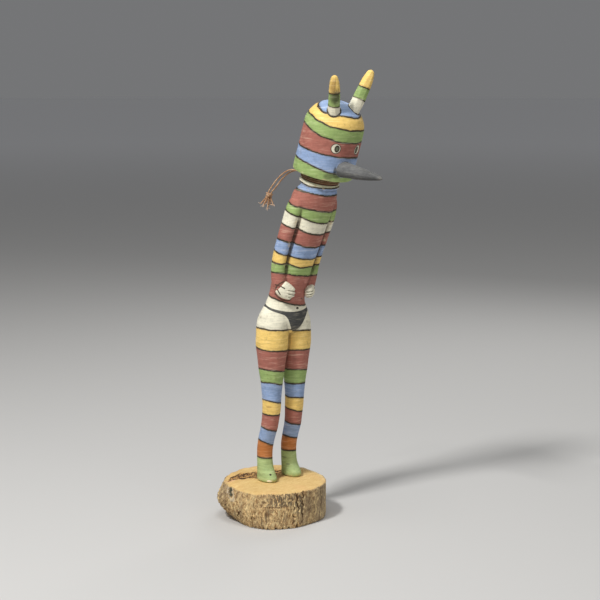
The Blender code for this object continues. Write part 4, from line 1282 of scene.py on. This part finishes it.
def side_crack(turn, height, degrees, low, high, width_mm, depth_mm, lean=0.0):
    """A split in the side between two heights: a narrow V round an angle that leans with height."""
    middle = degrees + lean * (height - low) / (high - low)
    wander = 0.7 * np.sin(height * 620 + degrees) + 0.4 * np.sin(height * 1500 + 2 * degrees)
    away = np.abs(round_side(np.degrees(turn) - middle - wander))
    held = rising(height, low, 0.002) * rising(high, height, 0.002)
    return np.clip(1 - away / width_mm, 0, 1) * depth_mm * MM * held


# Angle, lowest and highest point, width and depth in millimetres, and lean of each split in the side.
SPLITS = [
    (-171, 0.007, 0.0150, 1.5, 3.2, 7.0), (-152, -0.004, 0.013, 0.7, 1.2, 3.0),
    (-146, 0.006, 0.024, 0.6, 1.0, -1.5), (-104, 0.003, 0.024, 1.2, 1.3, 1.0),
    (-97, 0.014, 0.034, 1.5, 1.4, -3.5), (-92, 0.003, 0.034, 1.5, 1.7, 1.0),
    (-70, 0.012, 0.030, 0.4, 0.6, 2.0), (-57, -0.004, 0.010, 0.6, 1.2, 2.0),
    (155, 0.004, 0.020, 0.9, 1.8, -5.0), (120, -0.004, 0.024, 0.8, 2.2, 3.0),
    (74, -0.004, 0.028, 0.7, 1.8, -2.0), (32, -0.004, 0.030, 0.7, 1.6, 1.0),
    (-12, -0.004, 0.018, 0.5, 1.0, 2.0)]
cracks = np.max([side_crack(T, height_up, *split) for split in SPLITS], 0)
cracks = cracks * np.clip(0.85 + 0.45 * torn + 0.3 * lumps, 0.15, 1.4)
# The scar of a branch: a tilted oval hollow with a lip round it, at 175 degrees.
scar_up = (height_up - 0.0285) / MM
scar = np.hypot((round_side(np.degrees(T) - 175.0) + scar_up) / 4.0, scar_up / 4.4)
scar_hollow, scar_lip = np.clip(1.15 - scar, 0, 1), np.exp(-((scar - 1.45) / 0.35) ** 2)
foot_wear = 0.0010 * np.clip(1 - (height_up - lowest) / 0.003, 0, 1) ** 2 * (1 + chips)
top_edge = 0.0010 * np.clip(1 - (rim - height_up) / 0.0014, 0, 1) ** 2
reach = (reach + lump * swell + shift + relief + blocks - cracks - 0.0012 * scar_hollow + 0.0003 * scar_lip
         - foot_wear - top_edge)
side = np.stack([reach * np.cos(T), reach * np.sin(T), height_up + 0 * reach], -1)
print("side reach", round(float(reach.min()), 4), "to", round(float(reach.max()), 4))

# %% [markdown]
# The sawn face has a rotten patch that curves behind the feet: brown, sunken and crumbling, with an open
# crack along its front edge. Its middle line is listed. The distance to it, against the patch's
# half width there, gives the depth and the colour. The face also rises a little at the back, as a saw
# cut by hand does.

# %% Log top
ROTTEN_LINE = smooth_rows(np.array([
    (-29.0, 25.5), (-24.0, 25.0), (-18.0, 25.5), (-9.0, 26.0), (-2.0, 21.5), (6.0, 20.5), (14.0, 20.0),
    (21.5, 18.5), (28.0, 14.5)]) * MM, 140)
ROTTEN_HALF = np.interp(np.linspace(0, 1, 140), np.linspace(0, 1, 9),
                        np.array([3.0, 6.4, 9.0, 10.4, 10.8, 9.8, 7.8, 6.4, 1.5]) * MM)
CRACK = smooth_rows(np.array([
    (-25.0, 20.5), (-19.5, 21.5), (-15.5, 19.5), (-11.0, 18.2), (-6.0, 15.5), (1.0, 14.0), (8.0, 13.6),
    (16.0, 14.8), (22.0, 16.0)]) * MM, 140)
share = np.linspace(0.012, 1.0, TOP_RINGS)[:, None] ** 0.85
top_reach = share * (reach[0] - 0.0003)[None, :]
top_x, top_y = top_reach * np.cos(T), top_reach * np.sin(T)
flat = np.stack([top_x, top_y], -1).reshape(-1, 2)
flat_points = np.column_stack([flat, np.zeros(len(flat))])
ragged = soft_noise(flat_points, (0.006, 0.006, 1.0), 46, 40)
crumbs = soft_noise(flat_points, (0.0022, 0.0022, 1.0), 43, 40)
to_line = distances(flat, ROTTEN_LINE)
inside_patch = 1.15 - to_line.min(1) / ROTTEN_HALF[to_line.argmin(1)] + 0.28 * ragged + 0.12 * crumbs
patch = np.clip(inside_patch / 0.35, 0, 1).reshape(top_x.shape)
crack_away = nearest(flat, CRACK) + 0.0004 * crumbs
crack_depth = np.clip(1 - crack_away / 0.0015, 0, 1).reshape(top_x.shape) * patch
crumbs = crumbs.reshape(top_x.shape)
saw = soft_noise(flat_points, (0.012, 0.0016, 1.0), 41, 40).reshape(top_x.shape)
edge_drop = rising(share, 0.90, 0.10) ** 2 * (LOG_HEIGHT + saw_rise - rim)
lump_drop = near_angle(T, 154, 60) * 0.0014 * rising(share, 0.80, 0.20) ** 2
top_z = (LOG_HEIGHT - 0.00010 + 0.00007 * saw + back_rise(top_x, top_y) - edge_drop - lump_drop
         - patch * (0.0012 + 0.0005 * crumbs) - 0.0022 * crack_depth)
top = np.stack([top_x, top_y, top_z], -1)
side[0, :, 2] = top_z[-1] - 0.0002
inner = np.linspace(1.0, 0.02, FOOT_RINGS)[:, None]
foot_reach = inner * (reach[-1] - 0.0004)[None, :]
foot_z = np.concatenate([lowest[None, :], np.zeros((FOOT_RINGS - 1, AROUND))])
foot = np.stack([foot_reach * np.cos(T), foot_reach * np.sin(T), foot_z], -1)
log_rings = np.concatenate([foot[::-1], side[::-1][1:], top[::-1][1:]])
log_points, log_faces = joined_grids([log_rings])
print("top from", round(float(top_z.min()), 4), "to", round(float(top_z.max()), 4))

# %% [markdown]
# Two things decide the wood's colour: whether the face was sawn or torn, and how long rain and dirt
# have worked on it. The top is honey-coloured with faint rings round an off-centre pith; the side is a
# mix of tan and grey fibres that run up and down. Painted shade darkens the cracks, the step under the
# ledge, the gaps between the lumps and the lump on the left, and a painted highlight lies on the lip of
# the branch scar.

# %% Marks on the log
def on_log(of_side, of_top):
    """One number for every point of the log from values on the side's rings and on the top's."""
    of_side, of_top = np.broadcast_to(of_side, side.shape[:2]), np.broadcast_to(of_top, top.shape[:2])
    blank = np.zeros(FOOT_RINGS * AROUND)
    return np.concatenate([blank, of_side[::-1][1:].ravel(), of_top[::-1][1:].ravel(), [0.0, 0.0]])


ledge_line = (1.6 * near_angle(T, -125, 24) * np.exp(-((height_up - 0.0204 - 0.0004 * lumps) / 0.0006) ** 2)
              * np.clip(0.9 + 0.8 * torn, 0, 1))
honey_reach = 0.0006 + 0.0016 * near_angle(T, 150, 40) + 0.0010 * near_angle(T, -145, 30)
is_side = np.clip((rim - height_up + 0.0004 * torn) / honey_reach, 0, 1) ** 2
speckled = (near_angle(T, -116, 26) * rising(height_up, 0.0200, 0.0015)
            + 1.1 * near_angle(T, -96, 9) * rising(height_up, 0.010, 0.006)
            + 0.7 * near_angle(T, 100, 60) * rising(height_up, 0.012, 0.01)
            + 0.6 * near_angle(T, 20, 40) * rising(0.02, height_up, 0.01))
worn_grey = near_angle(T, -54, 38) + 0.7 * near_angle(T, 160, 30) * rising(height_up, 0.012, 0.01)
# Painted shade in the side's cracks, in the step under the ledge and in the gaps between the lumps.
dark = cracks / 0.0013 + ledge_line + 0.5 * np.clip(0.25 - np.abs(lumps), 0, 1) * lump
# Each mark on the side and on the top.
marks = {title: on_log(*values) for title, values in {
    "is_side": (is_side, 0.0), "dark": (dark, 1.3 * crack_depth), "rotten": (0.0, patch),
    "from_patch": (40.0, to_line.min(1).reshape(top_x.shape) / MM), "speckled": (speckled, 0.0),
    "worn_grey": (worn_grey, 0.0), "scar": (scar_hollow, 0.0),
    "shaded": (0.20 * near_angle(T, 160, 48) * np.clip(0.7 + 0.5 * lumps, 0, 1.2), 0.0),
    "lip": (scar_lip + rising(0.0016, height_up - lowest, 0.0016), 0.0),
    "sapwood": (0.0, rising(share, 0.93, 0.05) * near_angle(T, 20, 90))}.items()}

# %% Log material
log_wood, tree, shader = new_material("weathered log", 0.85)
side_wood = use(tree, wood_fibre, {
    "Light": rgb(242, 208, 150), "Dark": rgb(146, 108, 66),
    "Vector": object_place(tree, (360.0, 360.0, 300.0)), "Contrast": 2.5})
grey_wood = use(tree, wood_fibre, {
    "Light": rgb(206, 184, 148), "Dark": rgb(138, 114, 84),
    "Vector": object_place(tree, (460.0, 460.0, 130.0)), "Contrast": 1.6})
drift = between(tree, noise(tree, (70.0, 70.0, 40.0), 3.0), 0.44, 0.66, 0.0, 0.6)
drift = maths(tree, "MAXIMUM", drift, attribute(tree, "worn_grey"))
side_colour = blend(tree, drift, side_wood["Colour"], grey_wood["Colour"])
pits = between(tree, noise(tree, (540.0, 540.0, 430.0), 2.0, 0.5), 0.57, 0.66)
pits = times(tree, pits, between(tree, attribute(tree, "worn_grey"), 0.9, 0.2, 0.15, 0.80))
pitted = between(tree, noise(tree, (85.0, 85.0, 60.0), 2.0), 0.38, 0.58, 0.25, 1.0)
pits = times(tree, pits, pitted)
side_colour = blend(tree, pits, side_colour, rgb(112, 80, 50))
# Painted shade on the lump at the left of the side.
side_colour = blend(tree, attribute(tree, "shaded"), side_colour, rgb(112, 88, 60))
glow = between(tree, noise(tree, (330.0, 330.0, 250.0), 2.0), 0.54, 0.66, 0.0, 0.75)
side_colour = blend(tree, glow, side_colour, rgb(240, 214, 160))
zone = noise(tree, (88.0, 88.0, 62.0), 3.0, 0.55, (0.0, 0.0, 1.1))
side_colour = coat(tree, side_colour, zone, 0.52, 0.66, rgb(122, 100, 76), 0.50)
side_colour = coat(tree, side_colour, zone, 0.46, 0.32, rgb(244, 216, 160), 0.55)
seam = noise(tree, (300.0, 300.0, 34.0), 3.0, 0.55)
side_colour = coat(tree, side_colour, seam, 0.60, 0.70, rgb(88, 66, 46), 0.75)
freckle = between(tree, noise(tree, (720.0, 720.0, 300.0), 3.0, 0.6), 0.44, 0.56)
freckle = times(tree, freckle, between(tree, attribute(tree, "speckled"), 0.0, 0.9, 0.28, 0.85))
side_colour = blend(tree, freckle, side_colour, rgb(88, 78, 64))
# Painted highlight on the branch scar's raised lip; the side is also paler near its foot.
side_colour = coat(tree, side_colour, attribute(tree, "lip"), 0.2, 0.9, rgb(204, 188, 160), 0.7)
side_colour = coat(tree, side_colour, attribute(tree, "scar"), 0.1, 0.5, rgb(84, 82, 66))

PITH = (0.012, 0.010, LOG_HEIGHT)
pith_reach = vectors(tree, "DISTANCE", "Value", object_place(tree), PITH)
warped = times(tree, noise(tree, 40.0, 2.0), 0.008, pith_reach)
growth = times(tree, maths(tree, "SINE", times(tree, warped, 2300.0)), 0.5, 0.5)
honey = use(tree, wood_fibre, {
    "Light": rgb(240, 210, 146), "Dark": rgb(212, 172, 106),
    "Vector": object_place(tree, (140.0, 420.0, 140.0), (0.0, 0.0, 0.6)), "Contrast": 1.2})
top_colour = blend(tree, times(tree, growth, 0.12), honey["Colour"], rgb(196, 146, 84))
blush = between(tree, noise(tree, 50.0, 2.0), 0.52, 0.70, 0.0, 0.28)
top_colour = blend(tree, blush, top_colour, rgb(226, 176, 120))
sapwood = times(tree, attribute(tree, "sapwood"), 0.6)
top_colour = blend(tree, sapwood, top_colour, rgb(240, 222, 180))
top_colour = with_spots(tree, top_colour, (
    ((0.010, 0.006, LOG_HEIGHT), (0.007, 0.006, 0.01), 0.25, rgb(178, 110, 70), 0.45),
    ((-0.031, 0.022, LOG_HEIGHT), (0.005, 0.004, 0.01), 0.25, rgb(216, 164, 140), 0.5)))
mould = noise(tree, 330.0, 4.0, 0.65)
rot_colour = blend(tree, between(tree, mould, 0.42, 0.58), rgb(66, 44, 30), rgb(194, 150, 92))
from_patch = attribute(tree, "from_patch")
rot_wave = maths(tree, "SINE", times(tree, noise(tree, 150.0, 3.0), 6.0, times(tree, from_patch, 1.3)))
rot_colour = coat(tree, rot_colour, rot_wave, 0.35, 0.85, rgb(64, 42, 28), 0.8)
ring_wave = maths(tree, "SINE", times(tree, noise(tree, 120.0, 2.0), 5.0, times(tree, from_patch, 2.6)))
near_patch = between(tree, from_patch, 22.0, 9.0, 0.0, 0.45)
ring_wave = times(tree, between(tree, ring_wave, 0.1, 0.9), near_patch)
top_colour = blend(tree, ring_wave, top_colour, rgb(168, 120, 68))
edge = times(tree, mould, 0.8, attribute(tree, "rotten"))
top_colour = coat(tree, top_colour, edge, 0.75, 1.05, rot_colour)
colour = blend(tree, attribute(tree, "is_side"), top_colour, side_colour)
# Painted shade in the cracks and hollows of the side and in the crack of the top.
fray = times(tree, noise(tree, 700.0, 3.0), 0.5, attribute(tree, "dark"))
colour = coat(tree, colour, fray, 0.50, 1.10, rgb(86, 58, 36), 0.9)
relief_height = blend(tree, attribute(tree, "is_side"), honey["Height"], side_wood["Height"])
finish_shader(tree, shader, colour, relief_height, distance=0.0006, strength=0.6)
make_piece("log", log_points, log_faces, log_wood, marks, ["log_base"])

# %% [markdown]
# ## Studio
#
# The floor is plain and pale, and its tone nears the sky's far from the doll. The light is soft: the main
# one high on the viewer's left, a broad one above, a weak one on the right, one from behind to part the
# doll from the background, and a pale sky all round.

# %% Floor and light
FLOOR_RADIUS, FLOOR_SIDES = 25, 96
angle = np.linspace(0, 2 * math.pi, FLOOR_SIDES + 1)[:-1]
floor_points = FLOOR_RADIUS * np.column_stack([np.cos(angle), np.sin(angle), 0 * angle])
floor_mesh = bpy.data.meshes.new("floor")
floor_mesh.from_pydata(floor_points.tolist(), [], [list(range(FLOOR_SIDES))])
floor = bpy.data.objects.new("floor", floor_mesh)
scene.collection.objects.link(floor)
floor_paint, tree, shader = new_material("pale floor", 0.9)
from_doll = vectors(tree, "LENGTH", "Value", object_place(tree))
finish_shader(tree, shader, coat(tree, (0.60, 0.59, 0.57), from_doll, 1.0, 8.0, (0.97, 0.97, 0.98)))
floor_mesh.materials.append(floor_paint)

sky = bpy.data.worlds.new("pale sky")
sky.use_nodes = True
sky.node_tree.nodes["Background"].inputs["Color"].default_value = (0.80, 0.81, 0.83, 1.0)
sky.node_tree.nodes["Background"].inputs["Strength"].default_value = 0.22
scene.world = sky
for name, place, size, power in (
        ("key", -0.68 * view_right + 0.86 * view_near + 1.48 * UP, 0.24, 23.5),
        ("top", 0.00 * view_right + 0.35 * view_near + 1.70 * UP, 0.70, 7.0),
        ("fill", 0.90 * view_right + 1.30 * view_near + 0.50 * UP, 0.80, 2.8),
        ("rim", 0.5 * view_right - 1.0 * view_near + 0.9 * UP, 0.6, 3.0)):
    light = bpy.data.objects.new(name, bpy.data.lights.new(name, "AREA"))
    light.data.size = size
    light.data.energy = power
    light.location = place
    light.rotation_euler = Vector(0.22 * UP - place).to_track_quat("-Z", "Y").to_euler()
    scene.collection.objects.link(light)
scene.view_settings.view_transform = "Standard"
